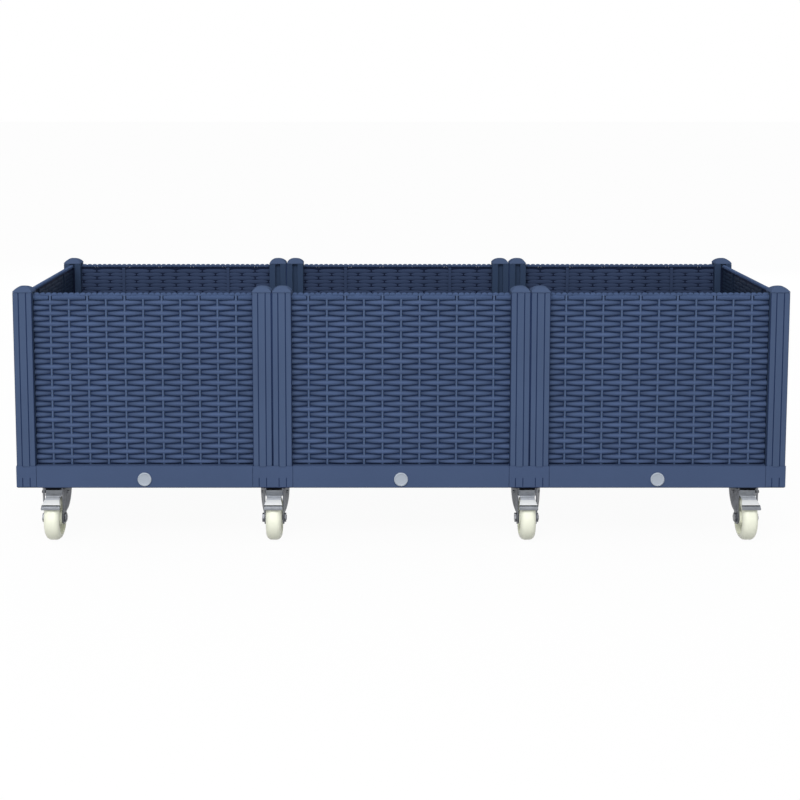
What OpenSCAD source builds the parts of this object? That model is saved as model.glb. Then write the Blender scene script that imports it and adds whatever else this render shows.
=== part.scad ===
// Rolling planter: three square modules in a row, with woven-look wall panels held between
// ribbed posts, a base tray under each module and eight braked swivel casters.
// Millimetres, +Z up. The origin is on the floor, at the middle of the planter.
// The long side that faces -Y is the front.

/* [Planter box] */
// Length of one square module
module_size = 400; // [360:10:440]
// Height of the base tray and its skirt
skirt_h = 35; // [32:1:42]
// Width of a square post
post_w = 29.5; // [28:0.5:34]
// Height of a post above the skirt
post_h = 272; // [150:2:350]
// How far the base stands proud of the posts
base_proud = 0.75; // [0.4:0.05:1.5]
// Width of the slot in a post that holds a panel
slot_w = 9; // [8:0.25:11]
// Depth of the slot in a post
slot_depth = 7; // [5:0.5:8]
// Distance from a post's edge to the middle of each narrow groove
groove_place = 9; // [7:0.5:11]
// Width of the narrow grooves in a post's outer faces
groove_w = 1.5; // [0.8:0.1:2.5]
// Depth of the narrow grooves
groove_depth = 0.9; // [0.5:0.1:1.4]
// How far the middle band of a post reaches down into the socket
band_drop = 1.5; // [0.5:0.25:3]
// Depth of the socket that a post stands in
socket_depth = 22; // [14:1:28]
// Wall thickness of the mouldings
wall_t = 2.5; // [2:0.25:3]
// Chamfer along the lower edge of the skirt
skirt_edge = 1.5; // [0.5:0.25:1.75]

/* [Post caps] */
// Height of the domed cap above its post
cap_h = 10; // [8.5:0.5:14]
// Radius of the arches that shape the dome
cap_arch_r = 17.5; // [17:0.5:28]
// How far the cap overhangs its post
cap_overhang = 0.25; // [0:0.05:0.5]
// Length of the plug under the cap
cap_plug_h = 12; // [6:1:20]

/* [Woven panels] */
// Height of one woven row
row_pitch = 8.41; // [6:0.01:12]
// Gap between two rows
row_gap = 1; // [0.6:0.1:2]
// How far the lowest row reaches down behind the skirt
row_drop = 1.5; // [0:0.25:3]
// Distance between two upright stakes
stake_pitch = 28.8; // [20:0.4:36]
// Width of a stake where it shows between two strands
stake_w = 4; // [3:0.5:6]
// How far a strand stands out from the core sheet
strand_rise = 2.8; // [1.2:0.1:3]
// Thickness of the core sheet behind the weave
core_t = 2.4; // [2:0.2:3]
// Height of the stakes' ribs on the inside of a panel
stake_rise = 0.8; // [0.5:0.1:2.4]
// Distance from a panel's middle to each of the two flat ribs on its inside
brace_place = 94; // [80:1:110]
// Width of the flat ribs
brace_w = 5.2; // [4:0.2:8]
// Height of the flat ribs
brace_rise = 2.4; // [1.5:0.1:2.6]
// Height of the braided border at the top of a panel
border_h = 11.4; // [9:0.2:16]
// Distance between two loops of the border's edge
loop_pitch = 8.9; // [7:0.1:12]
// How far the loops rise above the posts, negative when they end below them
border_rise = -1.2; // [-2:0.2:3]

/* [Base tray] */
// Thickness of the tray's floor
floor_t = 3; // [2:0.5:4]
// Height of the ribs under the floor
rib_h = 2; // [1.5:0.5:2.5]
// Depth of the groove that holds a panel's lower edge
tray_groove_depth = 6; // [4:0.5:8]
// Diameter of the drain hole
drain_d = 16; // [12:0.5:18]
// Height of the drain's middle above the base's underside
drain_z = 14; // [13.5:0.25:16]
// Diameter of the drain plug's head
plug_head_d = 21.5; // [19:0.5:24]
// Thickness of the plug's head
plug_head_t = 2.2; // [1.5:0.1:4]

/* [Casters] */
// Height of a caster from the floor to the base
caster_h = 92; // [91:0.5:110]
// Distance from an end of the planter to an outer caster's swivel axis
end_inset = 51.5; // [46:0.5:80]
// Distance from a long side to the swivel axes
side_inset = 54; // [54:1:90]
// How far the wheel's axle trails the swivel axis
trail = 20; // [16:0.5:24]
// Wheel diameter
wheel_d = 70; // [60:1:71]
// Width of the wheel's tread
wheel_w = 24.5; // [20:0.5:27]
// Rounding of the tread's shoulders
shoulder_r = 9; // [3:0.5:10]
// Diameter of the axle bolt
axle_d = 8; // [6:0.5:10]
// Width across flats of the axle's head and nut
nut_flats = 13; // [12:0.5:16]
// Height of the axle's head and nut
nut_h = 3.5; // [3:0.1:6]
// Thickness of the fork's steel
fork_t = 2; // [1.5:0.1:2.5]
// Outer width of the fork at its shoulders
fork_top_w = 46; // [42:0.5:48]
// Diameter of the dish that covers the ball race
dish_d = 46; // [44:0.5:50]
// Length of the mounting plate, along the planter
plate_w = 60; // [56:1:64]
// Width of the mounting plate, across the planter
plate_d = 50; // [48:1:54]
// Thickness of the mounting plate
plate_t = 2.3; // [1.8:0.1:3]
// Distance between the plate's screw holes, along the planter
screw_spacing_x = 44; // [42:0.5:47]
// Distance between the plate's screw holes, across the planter
screw_spacing_y = 36; // [34:0.5:37]
// Diameter of the race balls
ball_d = 4.7; // [4:0.1:5]
// Radius of the circle of balls
ball_circle_r = 15; // [13:0.5:17]
// Number of balls in one race
ball_count = 10; // [6:1:14]
// Diameter of the kingpin
kingpin_d = 9; // [8:0.5:12]

/* [Brake pedals] */
// Thickness of the pedal's steel
pedal_t = 1.8; // [1.2:0.1:2]
// Width of the pedal's upper end
pedal_top_w = 27.5; // [24:0.5:28]
// Width of the pedal at its waist
pedal_waist_w = 21.5; // [18:0.5:26]
// Width of the pedal's rolled lip
pedal_lip_w = 29.5; // [28:0.5:34]
// Diameter of the pin that the pedal turns on
pedal_pin_d = 5; // [4:0.5:6]

/* [Fits] */
// Radial clearance of a shaft in its hole
shaft_fit = 0.05; // [0.02:0.01:0.1]
// Clearance between parts that slide or seat in each other
seat_fit = 0.3; // [0.1:0.05:0.4]
// Seam between two mouldings that lie side by side
seam = 0.15; // [0.05:0.05:0.3]

/* [Hidden] */

$fn = 48;
eps = 0.01;

// The row of modules
module_x = [-module_size, 0, module_size];
half_depth = module_size / 2;
half_length = module_size * 1.5;
base_z = caster_h;
skirt_top = base_z + skirt_h;

// Posts, slots and sockets
post_chamfer = 0.8;
socket_w = post_w + 2 * base_proud;
panel_line = base_proud + post_w / 2;
spigot_inset = 1.6;
hollow_start = 3;
hollow_w = post_w - slot_depth - wall_t - hollow_start;
mark_h = 16;
mark_w = 1.2;
mark_depth = 0.8;
opening_w = module_size - 2 * (base_proud + post_w);

// Panels
tongue_t = slot_w - 2 * seat_fit;
tongue_w = slot_depth - seat_fit - 0.5;
tongue_drop = tray_groove_depth - seat_fit;
panel_h = post_h + border_rise;
row_count = floor((panel_h - border_h + row_drop) / row_pitch);
strand_half = stake_pitch - stake_w / 2;
strand_r = (strand_half * strand_half + strand_rise * strand_rise) / (2 * strand_rise);
side_stakes = ceil(opening_w / 2 / stake_pitch);
border_t = core_t + 2 * strand_rise - 0.6;
loop_r = loop_pitch * 0.52;
loop_count = floor(opening_w / loop_pitch);

// Tray rim, measured inwards from the base's outer face
groove_out = panel_line - slot_w / 2;
groove_in = panel_line + slot_w / 2;
rim_w = groove_in + wall_t;
floor_top = rib_h + floor_t;
boss_h = 8;
boss_r = 4.5;
rib_count = 3;
rib_w = 3;
drain_boss_wall = 2.5;
plug_wall = 2;
plug_edge = 0.6;
plug_recess = 0.5;
plug_rim_w = 2.5;

// Casters
axle_z = wheel_d / 2;
wheel_r = wheel_d / 2;
wheel_gap = 1.4;
race_gap = ball_d + seat_fit;
fork_top_z = caster_h - plate_t - race_gap;
crown_t = 2.5;
crown_z = fork_top_z - crown_t;
leg_in = wheel_w / 2 + wheel_gap;
hip_in = fork_top_w / 2 - fork_t;
knee_z = axle_z + nut_flats / 2 + 1;
leg_end_r = 10.5;

// A leg's curve from knee to shoulder, as shares of the width and height between them
leg_curve = [[0, 0], [0.42, 0.11], [0.75, 0.36], [0.93, 0.62], [1, 0.82]];
shoulder_drop = 4;
shoulder_in = 2.5;
// Seen from above, the legs close in from leg_back to leg_front
leg_front = -trail - 7.5;
leg_back = -5;
// Seen from the side, their rear edge runs down from leg_rear
leg_rear = 5;
rear_drop = 10;
plate_chamfer = 3;
screw_d = 4;
screw_head_r = 4;
screw_head_h = 2.2;
screw_bite = boss_h + rib_h + floor_t - 3;
kingpin_head_r = 8;
kingpin_head_h = 2.5;
caster_y = half_depth - side_inset;
outer_caster = half_length - end_inset;
inner_caster = half_length - module_size;
caster_x = [-outer_caster, -inner_caster, inner_caster, outer_caster];
wheel_place = [-trail, axle_z];

// Pedal outline, from its top to its lip: how much of the spare room between wheel and crown
// lies under each point, and the point's angle forward of the top of the wheel
room = crown_z - wheel_d;
tread_clear = 0.35;
spare = room - pedal_t - tread_clear;
pedal_line = [[0.786, 2], [0.288, 9.6], [0.264, 17.6], [0.264, 33], [0.288, 46], [0.288, 55]];
pivot_gap = 0.45 * room;
pivot_angle = -8.5;
ear_r = 4.8;
ear_foot = 2;
lip_r = 2;
waist_drop = 1;
waist_run = 4;
pin_end = 1.2;

function around_wheel(gap, angle) = [
    -trail - (wheel_r + gap) * sin(angle),
    axle_z + (wheel_r + gap) * cos(angle)
];
function sheet_below(i) = i < len(pedal_line) - 1 ? pedal_t / 2 : lip_r;
pedal_path = [
    for (i = [0 : len(pedal_line) - 1])
        around_wheel(sheet_below(i) + tread_clear + pedal_line[i][0] * spare, pedal_line[i][1])
];
waist_z = pedal_path[2][1] - waist_drop;
flare_z = pedal_path[4][1];
pivot = around_wheel(pivot_gap, pivot_angle);
pivot_share = (pivot[0] - leg_front) / (leg_back - leg_front);
pin_w = 2 * (leg_in + fork_t + pivot_share * (hip_in - leg_in) + pin_end);

// Unit normal of a path at one of its points
function direction(a, b) = (b - a) / norm(b - a);
function path_normal(path, i) =
    let (
        before = direction(path[max(i - 1, 0)], path[max(i, 1)]),
        after = direction(path[min(i, len(path) - 2)], path[min(i + 1, len(path) - 1)]),
        along = direction([0, 0], before + after)
    ) [-along[1], along[0]];
function band(path, t) = concat(
    [for (i = [0 : len(path) - 1]) path[i] + path_normal(path, i) * t / 2],
    [for (i = [len(path) - 1 : -1 : 0]) path[i] - path_normal(path, i) * t / 2]
);

// Basic shapes
module slab(w, d, z_low, z_high) {
    translate([-w / 2, -d / 2, z_low]) cube([w, d, z_high - z_low]);
}

module ring(inset_out, inset_in, z_low, z_high) {
    out = module_size - 2 * inset_out;
    in = module_size - 2 * inset_in;
    difference() {
        slab(out, out, z_low, z_high);
        slab(in, in, z_low - 1, z_high + 1);
    }
}

// Cuts the chamfer along the lower edges of the skirt
module skirt_bevel() {
    bar = skirt_edge * sqrt(2);
    for (side = [-1, 1]) {
        translate([0, side * half_depth, base_z]) rotate([45, 0, 0])
            cube([3 * half_length, bar, bar], center = true);
        translate([side * half_length, 0, base_z]) rotate([0, 45, 0])
            cube([bar, 3 * half_depth, bar], center = true);
    }
}

module chamfered_square(w, c) {
    polygon([
        [c, 0], [w - c, 0], [w, c], [w, w - c], [w - c, w], [c, w], [0, w - c], [0, c]
    ]);
}

// Lays an outline drawn in the Y-Z plane across X, from -w/2 to w/2
module across_x(w) {
    translate([-w / 2, 0, 0]) rotate([90, 0, 90]) linear_extrude(w) children();
}

// Lays an outline drawn in the X-Z plane along Y, from -d/2 to d/2
module along_y(d) {
    translate([0, d / 2, 0]) rotate([90, 0, 0]) linear_extrude(d) children();
}

// Places a post at a corner of a module: side_x and side_y are -1 or 1
module at_corner(x, side_x, side_y) {
    translate([x + side_x * (half_depth - base_proud), side_y * (half_depth - base_proud), 0])
        mirror([side_x > 0 ? 1 : 0, 0, 0])
            mirror([0, side_y > 0 ? 1 : 0, 0])
                children();
}

// Post: two banded outer faces at x = 0 and y = 0, two slotted faces opposite
module post_hollow() {
    translate([hollow_start, hollow_start]) square(hollow_w);
}

module post_slots() {
    slot_start = (post_w - slot_w) / 2;
    translate([post_w - slot_depth, slot_start]) square([slot_depth + 1, slot_w]);
    translate([slot_start, post_w - slot_depth]) square([slot_w, slot_depth + 1]);
}

module post_grooves(depth, w) {
    for (place = [groove_place, post_w - groove_place]) {
        translate([place - w / 2, -1]) square([w, depth + 1]);
        translate([-1, place - w / 2]) square([depth + 1, w]);
    }
}

module post() {
    band_w = post_w - 2 * groove_place - groove_w;
    band_start = (post_w - band_w) / 2;
    difference() {
        union() {
            translate([0, 0, skirt_top]) linear_extrude(post_h) difference() {
                chamfered_square(post_w, post_chamfer);
                post_grooves(groove_depth, groove_w);
            }
            translate([spigot_inset, spigot_inset, skirt_top - socket_depth + seat_fit])
                cube([post_w - 2 * spigot_inset, post_w - 2 * spigot_inset, socket_depth]);
            translate([band_start, 0, skirt_top - band_drop]) cube([band_w, spigot_inset + 1, band_drop + 1]);
            translate([0, band_start, skirt_top - band_drop]) cube([spigot_inset + 1, band_w, band_drop + 1]);
        }
        translate([0, 0, skirt_top - socket_depth - 1]) linear_extrude(post_h + socket_depth + 2) {
            post_hollow();
            post_slots();
        }
    }
}

module post_cap() {
    cap_w = post_w + 2 * cap_overhang;
    plug_w = hollow_w - 2 * seat_fit;
    translate([post_w / 2, post_w / 2, skirt_top + post_h]) intersection() {
        linear_extrude(cap_h + 1) translate([-cap_w / 2, -cap_w / 2]) chamfered_square(cap_w, post_chamfer);
        along_y(cap_w + 2) cap_arch(cap_w);
        across_x(cap_w + 2) cap_arch(cap_w);
    }
    translate([hollow_start + seat_fit, hollow_start + seat_fit, skirt_top + post_h - cap_plug_h])
        cube([plug_w, plug_w, cap_plug_h + 1]);
}

module cap_arch(w) {
    intersection() {
        translate([-w / 2 - 1, 0]) square([w + 2, cap_h + 1]);
        translate([0, cap_h - cap_arch_r]) circle(cap_arch_r, $fn = 120);
    }
}

// Socket block: posts stand in it, and it closes the skirt at a corner or a joint
module socket_pocket(side_x) {
    pocket = post_w - 2 * spigot_inset + 2 * seam;
    band_w = post_w - 2 * groove_place - groove_w + 2 * seam;
    place = base_proud + spigot_inset - seam;
    band_place = base_proud + (post_w - band_w) / 2;
    mirror([side_x > 0 ? 1 : 0, 0, 0]) {
        translate([place, place, skirt_top - socket_depth]) cube([pocket, pocket, socket_depth + 1]);
        translate([band_place, -1, skirt_top - band_drop - seam]) cube([band_w, place + 2, band_drop + 1]);
        translate([-1, band_place, skirt_top - band_drop - seam]) cube([place + 2, band_w, band_drop + 1]);
        for (mark = [groove_place, post_w - groove_place]) {
            mark_start = base_proud + mark - mark_w / 2;
            translate([mark_start, -1, base_z + rib_h]) cube([mark_w, mark_depth + 1, mark_h - rib_h]);
        }
    }
}

module corner_socket(side_x, side_y) {
    translate([side_x * half_length, side_y * half_depth, 0])
        mirror([0, side_y > 0 ? 1 : 0, 0]) difference() {
            translate([side_x > 0 ? -socket_w : 0, 0, base_z]) cube([socket_w, socket_w, skirt_h]);
            socket_pocket(side_x);
            translate([-side_x * half_length, half_depth, 0]) skirt_bevel();
        }
}

module joint_socket(side_x, side_y) {
    translate([side_x * (half_length - module_size), side_y * half_depth, 0])
        mirror([0, side_y > 0 ? 1 : 0, 0]) difference() {
            translate([-socket_w, 0, base_z]) cube([2 * socket_w, socket_w, skirt_h]);
            socket_pocket(1);
            socket_pocket(-1);
            translate([0, half_depth, 0]) skirt_bevel();
        }
}

// Base tray of one module, around its own centre
module tray_pads(x) {
    for (i = [0 : 3], side_y = [-1, 1]) {
        translate([caster_x[i] - x, side_y * caster_y, 0]) slab(plate_w, plate_d, 0, rib_h + 1);
    }
}

module tray_bosses(x, r, z_low, z_high) {
    for (i = [0 : 3], side_y = [-1, 1], dx = [-1, 1], dy = [-1, 1]) {
        boss_x = caster_x[i] - x + dx * screw_spacing_x / 2;
        boss_y = side_y * caster_y + dy * screw_spacing_y / 2;
        if (abs(boss_x) < half_depth) {
            translate([boss_x, boss_y, z_low]) cylinder(r = r, h = z_high - z_low);
        }
    }
}

module tray_ribs() {
    inner = module_size - 2 * rim_w;
    for (i = [1 : rib_count]) {
        place = -inner / 2 + i * inner / (rib_count + 1);
        translate([place - rib_w / 2, -inner / 2 - 1, 0]) cube([rib_w, inner + 2, rib_h + 1]);
        translate([-inner / 2 - 1, place - rib_w / 2, 0]) cube([inner + 2, rib_w, rib_h + 1]);
    }
}

module base_tray(x) {
    inner = module_size - 2 * rim_w;
    outer = module_size - seam;
    notch = socket_w + seam;
    ledge_z = skirt_h - wall_t;
    groove_z = skirt_h - tray_groove_depth;
    color("steelblue") translate([x, 0, base_z]) difference() {
        union() {
            difference() {
                slab(outer, module_size, 0, skirt_h);
                slab(inner, inner, floor_top, skirt_h + 1);
                slab(inner, inner, -1, rib_h);
                ring(wall_t, groove_in, -1, groove_z - wall_t);
                ring(wall_t, groove_out - wall_t, groove_z - wall_t - 1, ledge_z);
                ring(groove_out, groove_in, groove_z, skirt_h + 1);
            }
            intersection() {
                slab(outer, module_size, 0, floor_top);
                union() {
                    tray_ribs();
                    tray_pads(x);
                }
            }
            tray_bosses(x, boss_r, rib_h, floor_top + boss_h);
            translate([0, -half_depth, drain_z]) rotate([-90, 0, 0])
                cylinder(r = drain_d / 2 + drain_boss_wall, h = rim_w);
        }
        tray_bosses(x, screw_d / 2 + shaft_fit, -1, screw_bite + seat_fit);
        translate([0, -half_depth - 1, drain_z]) rotate([-90, 0, 0])
            cylinder(r = drain_d / 2 + 2 * shaft_fit, h = rim_w + 2, $fn = 64);
        for (side_x = [-1, 1], side_y = [-1, 1]) {
            translate([side_x * half_depth, side_y * half_depth, 0])
                slab(2 * notch, 2 * notch, -1, skirt_h + 1);
        }
        translate([-x, 0, -base_z]) skirt_bevel();
    }
}

module drain_plug(x) {
    cup_depth = rim_w - 4;
    color("lightslategray") translate([x, -half_depth - seam, base_z + drain_z]) rotate([90, 0, 0])
        difference() {
            union() {
                cylinder(d = plug_head_d, h = plug_head_t - plug_edge, $fn = 64);
                translate([0, 0, plug_head_t - plug_edge])
                    cylinder(d1 = plug_head_d, d2 = plug_head_d - 2 * plug_edge, h = plug_edge, $fn = 64);
                translate([0, 0, -rim_w + 1]) cylinder(d = drain_d, h = rim_w, $fn = 64);
            }
            translate([0, 0, -rim_w]) cylinder(d = drain_d - 2 * plug_wall, h = cup_depth);
            translate([0, 0, plug_head_t - plug_recess]) cylinder(d = plug_head_d - 2 * plug_rim_w, h = 1);
        }
}

// One wall panel, upright, around its own middle, with its woven face towards +Y
module strand(x) {
    outer = core_t / 2 + strand_rise;
    intersection() {
        translate([x, outer - strand_r]) circle(strand_r, $fn = 240);
        translate([x - strand_half, 0]) square([2 * strand_half, outer]);
        translate([-opening_w / 2, 0]) square([opening_w, outer]);
    }
}

// Each row's strands pass in front of every second stake, the lowest row's beside the middle one
module woven_row(first) {
    for (k = [-side_stakes : side_stakes]) {
        if ((k + first) % 2 != 0) strand(k * stake_pitch);
    }
}

module border_edge() {
    straight_h = panel_h - loop_r;
    first_loop = -(loop_count - 1) / 2 * loop_pitch;
    translate([-opening_w / 2, panel_h - border_h]) square([opening_w, straight_h - panel_h + border_h]);
    for (i = [0 : loop_count - 1]) {
        translate([first_loop + i * loop_pitch, straight_h]) circle(loop_r, $fn = 32);
    }
}

module panel() {
    edge_w = opening_w + 2 * tongue_w;
    foot_w = module_size - 2 * socket_w - 2;
    rows_h = row_count * row_pitch - row_drop;
    color("slateblue") translate([0, 0, skirt_top]) {
        slab(edge_w, core_t, -eps, panel_h - border_h + 1);
        for (side = [-1, 1]) {
            translate([side * (opening_w / 2 + tongue_w / 2), 0, 0])
                slab(tongue_w, tongue_t, 0, panel_h - loop_r - 1);
        }
        slab(foot_w, tongue_t, -tongue_drop, 0);
        along_y(border_t) border_edge();
        for (k = [-side_stakes + 1 : side_stakes - 1]) {
            translate([k * stake_pitch - stake_w / 2, -core_t / 2 - stake_rise, -eps])
                cube([stake_w, stake_rise + core_t / 2, rows_h]);
        }
        for (side = [-1, 1]) {
            translate([side * brace_place - brace_w / 2, -core_t / 2 - brace_rise, -eps])
                cube([brace_w, brace_rise + core_t / 2, rows_h]);
        }
        for (i = [0 : row_count - 1]) {
            bottom = max(0, i * row_pitch + row_gap / 2 - row_drop);
            top = (i + 1) * row_pitch - row_gap / 2 - row_drop;
            translate([0, 0, bottom]) linear_extrude(top - bottom) woven_row(i);
        }
    }
}

module long_panel(x, side_y) {
    translate([x, side_y * (half_depth - panel_line), 0]) rotate(side_y < 0 ? 180 : 0) panel();
}

module end_panel(side_x) {
    translate([side_x * (half_length - panel_line), 0, 0]) rotate(side_x < 0 ? 90 : -90) panel();
}

// Casters
module at_caster(i, side_y) {
    translate([caster_x[i], side_y * caster_y, 0]) rotate(side_y < 0 ? 0 : 180) children();
}

module at_casters() {
    for (i = [0 : 3], side_y = [-1, 1]) at_caster(i, side_y) children();
}

module at_screws() {
    for (dx = [-1, 1], dy = [-1, 1])
        translate([dx * screw_spacing_x / 2, dy * screw_spacing_y / 2, 0]) children();
}

// A round bar or hole along X, through a point of a caster's Y-Z plane
module cross_bar(r, place, w) {
    translate([-w / 2, place[0], place[1]]) rotate([0, 90, 0]) cylinder(r = r, h = w);
}

// Fork seen from the front: its legs curve in from the shoulders to the knees
module leg_outline(grow, crown) {
    knee = leg_in + grow;
    hip = hip_in + grow;
    for (side = [-1, 1]) {
        curve = [
            for (p = leg_curve) [side * (knee + p[0] * (hip - knee)), knee_z + p[1] * (crown_z - knee_z)]
        ];
        polygon(concat([[0, 0], [side * knee, 0]], curve, [
            [side * hip, crown - shoulder_drop], [side * (hip - shoulder_in), crown], [0, crown]
        ]));
    }
}

// Fork seen from above: its legs close in towards the front of the wheel
module leg_plan(grow) {
    near = leg_in + grow;
    far = hip_in + grow;
    for (side = [-1, 1]) {
        polygon([
            [0, -3 * trail], [side * near, -3 * trail], [side * near, leg_front],
            [side * far, leg_back], [side * far, dish_d], [0, dish_d]
        ]);
    }
}

module leg_block(grow, crown) {
    intersection() {
        along_y(4 * dish_d) leg_outline(grow, crown);
        linear_extrude(crown) leg_plan(grow);
    }
}

module leg_side() {
    translate([-trail, axle_z]) circle(leg_end_r);
    polygon([
        [-trail - leg_end_r + 0.2, axle_z + 1], [leg_front + 0.5, fork_top_z], [leg_rear, fork_top_z],
        [0, crown_z - rear_drop], [-trail + leg_end_r - 1.2, axle_z - 5]
    ]);
}

module fork(i, side_y) {
    color("lightsteelblue") at_caster(i, side_y) difference() {
        union() {
            intersection() {
                difference() {
                    leg_block(fork_t, fork_top_z);
                    leg_block(0, crown_z);
                }
                across_x(2 * dish_d) leg_side();
            }
            translate([0, 0, crown_z]) cylinder(d = dish_d, h = crown_t, $fn = 96);
            translate([0, 0, fork_top_z - 0.5]) difference() {
                cylinder(d = dish_d, h = race_gap * 0.6, $fn = 96);
                translate([0, 0, -1]) cylinder(r = dish_d / 2 - fork_t, h = race_gap + 2, $fn = 96);
            }
        }
        translate([0, 0, crown_z - 1]) cylinder(r = kingpin_d / 2 + shaft_fit, h = race_gap + crown_t);
        cross_bar(axle_d / 2 + shaft_fit, wheel_place, 2 * dish_d);
        cross_bar(pedal_pin_d / 2 + shaft_fit, pivot, 2 * dish_d);
    }
}

module axle(i, side_y) {
    side = leg_in + fork_t + 0.1;
    nut_d = nut_flats / cos(30);
    color("silver") at_caster(i, side_y) translate([0, -trail, axle_z]) rotate([0, 90, 0]) {
        translate([0, 0, -side - nut_h]) rotate(30) cylinder(d = nut_d, h = nut_h, $fn = 6);
        translate([0, 0, -side - 0.5]) cylinder(d = axle_d, h = 2 * side + nut_h + 0.5);
        translate([0, 0, side]) difference() {
            rotate(30) cylinder(d = nut_d, h = nut_h - 0.8, $fn = 6);
            translate([0, 0, -1]) cylinder(r = axle_d / 2 + shaft_fit, h = nut_h + 2);
        }
    }
}

module wheel_section() {
    half_w = wheel_w / 2;
    hub_r = 11;
    rim_t = 8;
    web_half = 5;
    difference() {
        union() {
            square([wheel_r - shoulder_r, half_w]);
            square([wheel_r, half_w - shoulder_r]);
            translate([wheel_r - shoulder_r, half_w - shoulder_r]) circle(shoulder_r);
        }
        translate([hub_r, web_half]) square([wheel_r - rim_t - hub_r, half_w]);
        translate([-1, -1]) square([axle_d / 2 + shaft_fit + 1, half_w + 2]);
        translate([-1, -2 * wheel_r]) square([3 * wheel_r, 2 * wheel_r]);
    }
}

module wheel(i, side_y) {
    color("ivory") at_caster(i, side_y) translate([0, -trail, axle_z]) rotate([0, 90, 0]) {
        rotate_extrude($fn = 96) wheel_section();
        mirror([0, 0, 1]) rotate_extrude($fn = 96) wheel_section();
    }
}

// Pedal seen from the front: it narrows to a waist and widens to its lip
module pedal_front() {
    half = [pedal_top_w / 2, pedal_waist_w / 2, pedal_lip_w / 2];
    for (side = [-1, 1]) {
        polygon([
            [0, crown_z], [side * half[0], crown_z], [side * half[0], waist_z + waist_run],
            [side * half[1], waist_z], [side * half[2], flare_z], [side * half[2], 0], [0, 0]
        ]);
    }
}

module pedal_ear() {
    foot = pedal_path[1];
    translate(pivot) circle(ear_r);
    polygon([pivot + [ear_r, 0], pedal_path[0], foot, foot + [1, -ear_foot], pivot - [1, ear_r - 0.2]]);
}

module pedal(i, side_y) {
    ear_place = (pedal_top_w - pedal_t) / 2;
    color("gainsboro") at_caster(i, side_y) {
        intersection() {
            across_x(pedal_lip_w) polygon(band(pedal_path, pedal_t));
            along_y(4 * dish_d) pedal_front();
        }
        cross_bar(lip_r, pedal_path[5], pedal_lip_w);
        for (side = [-1, 1]) translate([side * ear_place, 0, 0]) across_x(pedal_t) pedal_ear();
        cross_bar(pedal_pin_d / 2, pivot, pin_w);
    }
}

module caster_plate() {
    corner = plate_chamfer + (plate_w - plate_d) / 2;
    translate([0, 0, caster_h - plate_t]) linear_extrude(plate_t) difference() {
        intersection() {
            translate([-plate_w / 2, -plate_w / 2]) chamfered_square(plate_w, corner);
            translate([-plate_w / 2, -plate_d / 2]) square([plate_w, plate_d]);
        }
        circle(kingpin_d / 2 + shaft_fit);
        at_screws() circle(screw_d / 2 + seat_fit);
    }
}

module kingpin() {
    head_z = crown_z - seat_fit - kingpin_head_h;
    translate([0, 0, head_z]) cylinder(r = kingpin_head_r, h = kingpin_head_h);
    translate([0, 0, head_z + 1]) cylinder(d = kingpin_d, h = caster_h - head_z - 1 - seam);
}

module ball_race() {
    for (i = [0 : ball_count - 1]) {
        rotate(i * 360 / ball_count) translate([ball_circle_r, 0, caster_h - plate_t - ball_d / 2])
            sphere(d = ball_d, $fn = 24);
    }
}

module plate_screw() {
    translate([0, 0, caster_h - plate_t - screw_head_h]) cylinder(r = screw_head_r, h = screw_head_h);
    translate([0, 0, caster_h - plate_t - 0.5]) cylinder(d = screw_d, h = plate_t + screw_bite + 0.5);
}

// Groups of like pieces
joint_corners = [[-module_size, 1], [0, -1], [0, 1], [module_size, -1]];
row_ends = [[-module_size, -1], [module_size, 1]];

module post_row(corners, side_y) {
    for (corner = corners) at_corner(corner[0], corner[1], side_y) children();
}

module corner_post(side_x, side_y) {
    color("slateblue") at_corner(side_x * module_size, side_x, side_y) post();
}

module joint_posts(side_y) {
    color("slateblue") post_row(joint_corners, side_y) post();
}

module post_caps(side_y) {
    color("cornflowerblue") post_row(concat(row_ends, joint_corners), side_y) post_cap();
}

module corner_sockets() {
    color("royalblue") for (side_x = [-1, 1], side_y = [-1, 1]) corner_socket(side_x, side_y);
}

module joint_sockets() {
    color("royalblue") for (side_x = [-1, 1], side_y = [-1, 1]) joint_socket(side_x, side_y);
}

module caster_plates() {
    color("gainsboro") at_casters() caster_plate();
}

module kingpins() {
    color("silver") at_casters() kingpin();
}

module swivel_balls() {
    color("white") at_casters() ball_race();
}

module plate_screws() {
    color("silver") at_casters() at_screws() plate_screw();
}

base_tray(module_x[0]);  // base_tray_left
base_tray(module_x[1]);  // base_tray_centre
base_tray(module_x[2]);  // base_tray_right
corner_sockets();
joint_sockets();
drain_plug(module_x[0]);  // drain_plug_left
drain_plug(module_x[1]);  // drain_plug_centre
drain_plug(module_x[2]);  // drain_plug_right
long_panel(module_x[0], -1);  // front_panel_left
long_panel(module_x[1], -1);  // front_panel_centre
long_panel(module_x[2], -1);  // front_panel_right
long_panel(module_x[0], 1);  // rear_panel_left
long_panel(module_x[1], 1);  // rear_panel_centre
long_panel(module_x[2], 1);  // rear_panel_right
end_panel(-1);  // end_panel_left
end_panel(1);  // end_panel_right
corner_post(-1, -1);  // front_left_post
corner_post(1, -1);  // front_right_post
corner_post(-1, 1);  // rear_left_post
corner_post(1, 1);  // rear_right_post
joint_posts(-1);  // front_joint_posts
joint_posts(1);  // rear_joint_posts
post_caps(-1);  // front_post_caps
post_caps(1);  // rear_post_caps
caster_plates();
kingpins();
swivel_balls();
plate_screws();
fork(0, -1);  // fork_front_far_left
fork(1, -1);  // fork_front_mid_left
fork(2, -1);  // fork_front_mid_right
fork(3, -1);  // fork_front_far_right
fork(0, 1);  // fork_rear_far_left
fork(1, 1);  // fork_rear_mid_left
fork(2, 1);  // fork_rear_mid_right
fork(3, 1);  // fork_rear_far_right
axle(0, -1);  // axle_front_far_left
axle(1, -1);  // axle_front_mid_left
axle(2, -1);  // axle_front_mid_right
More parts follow.
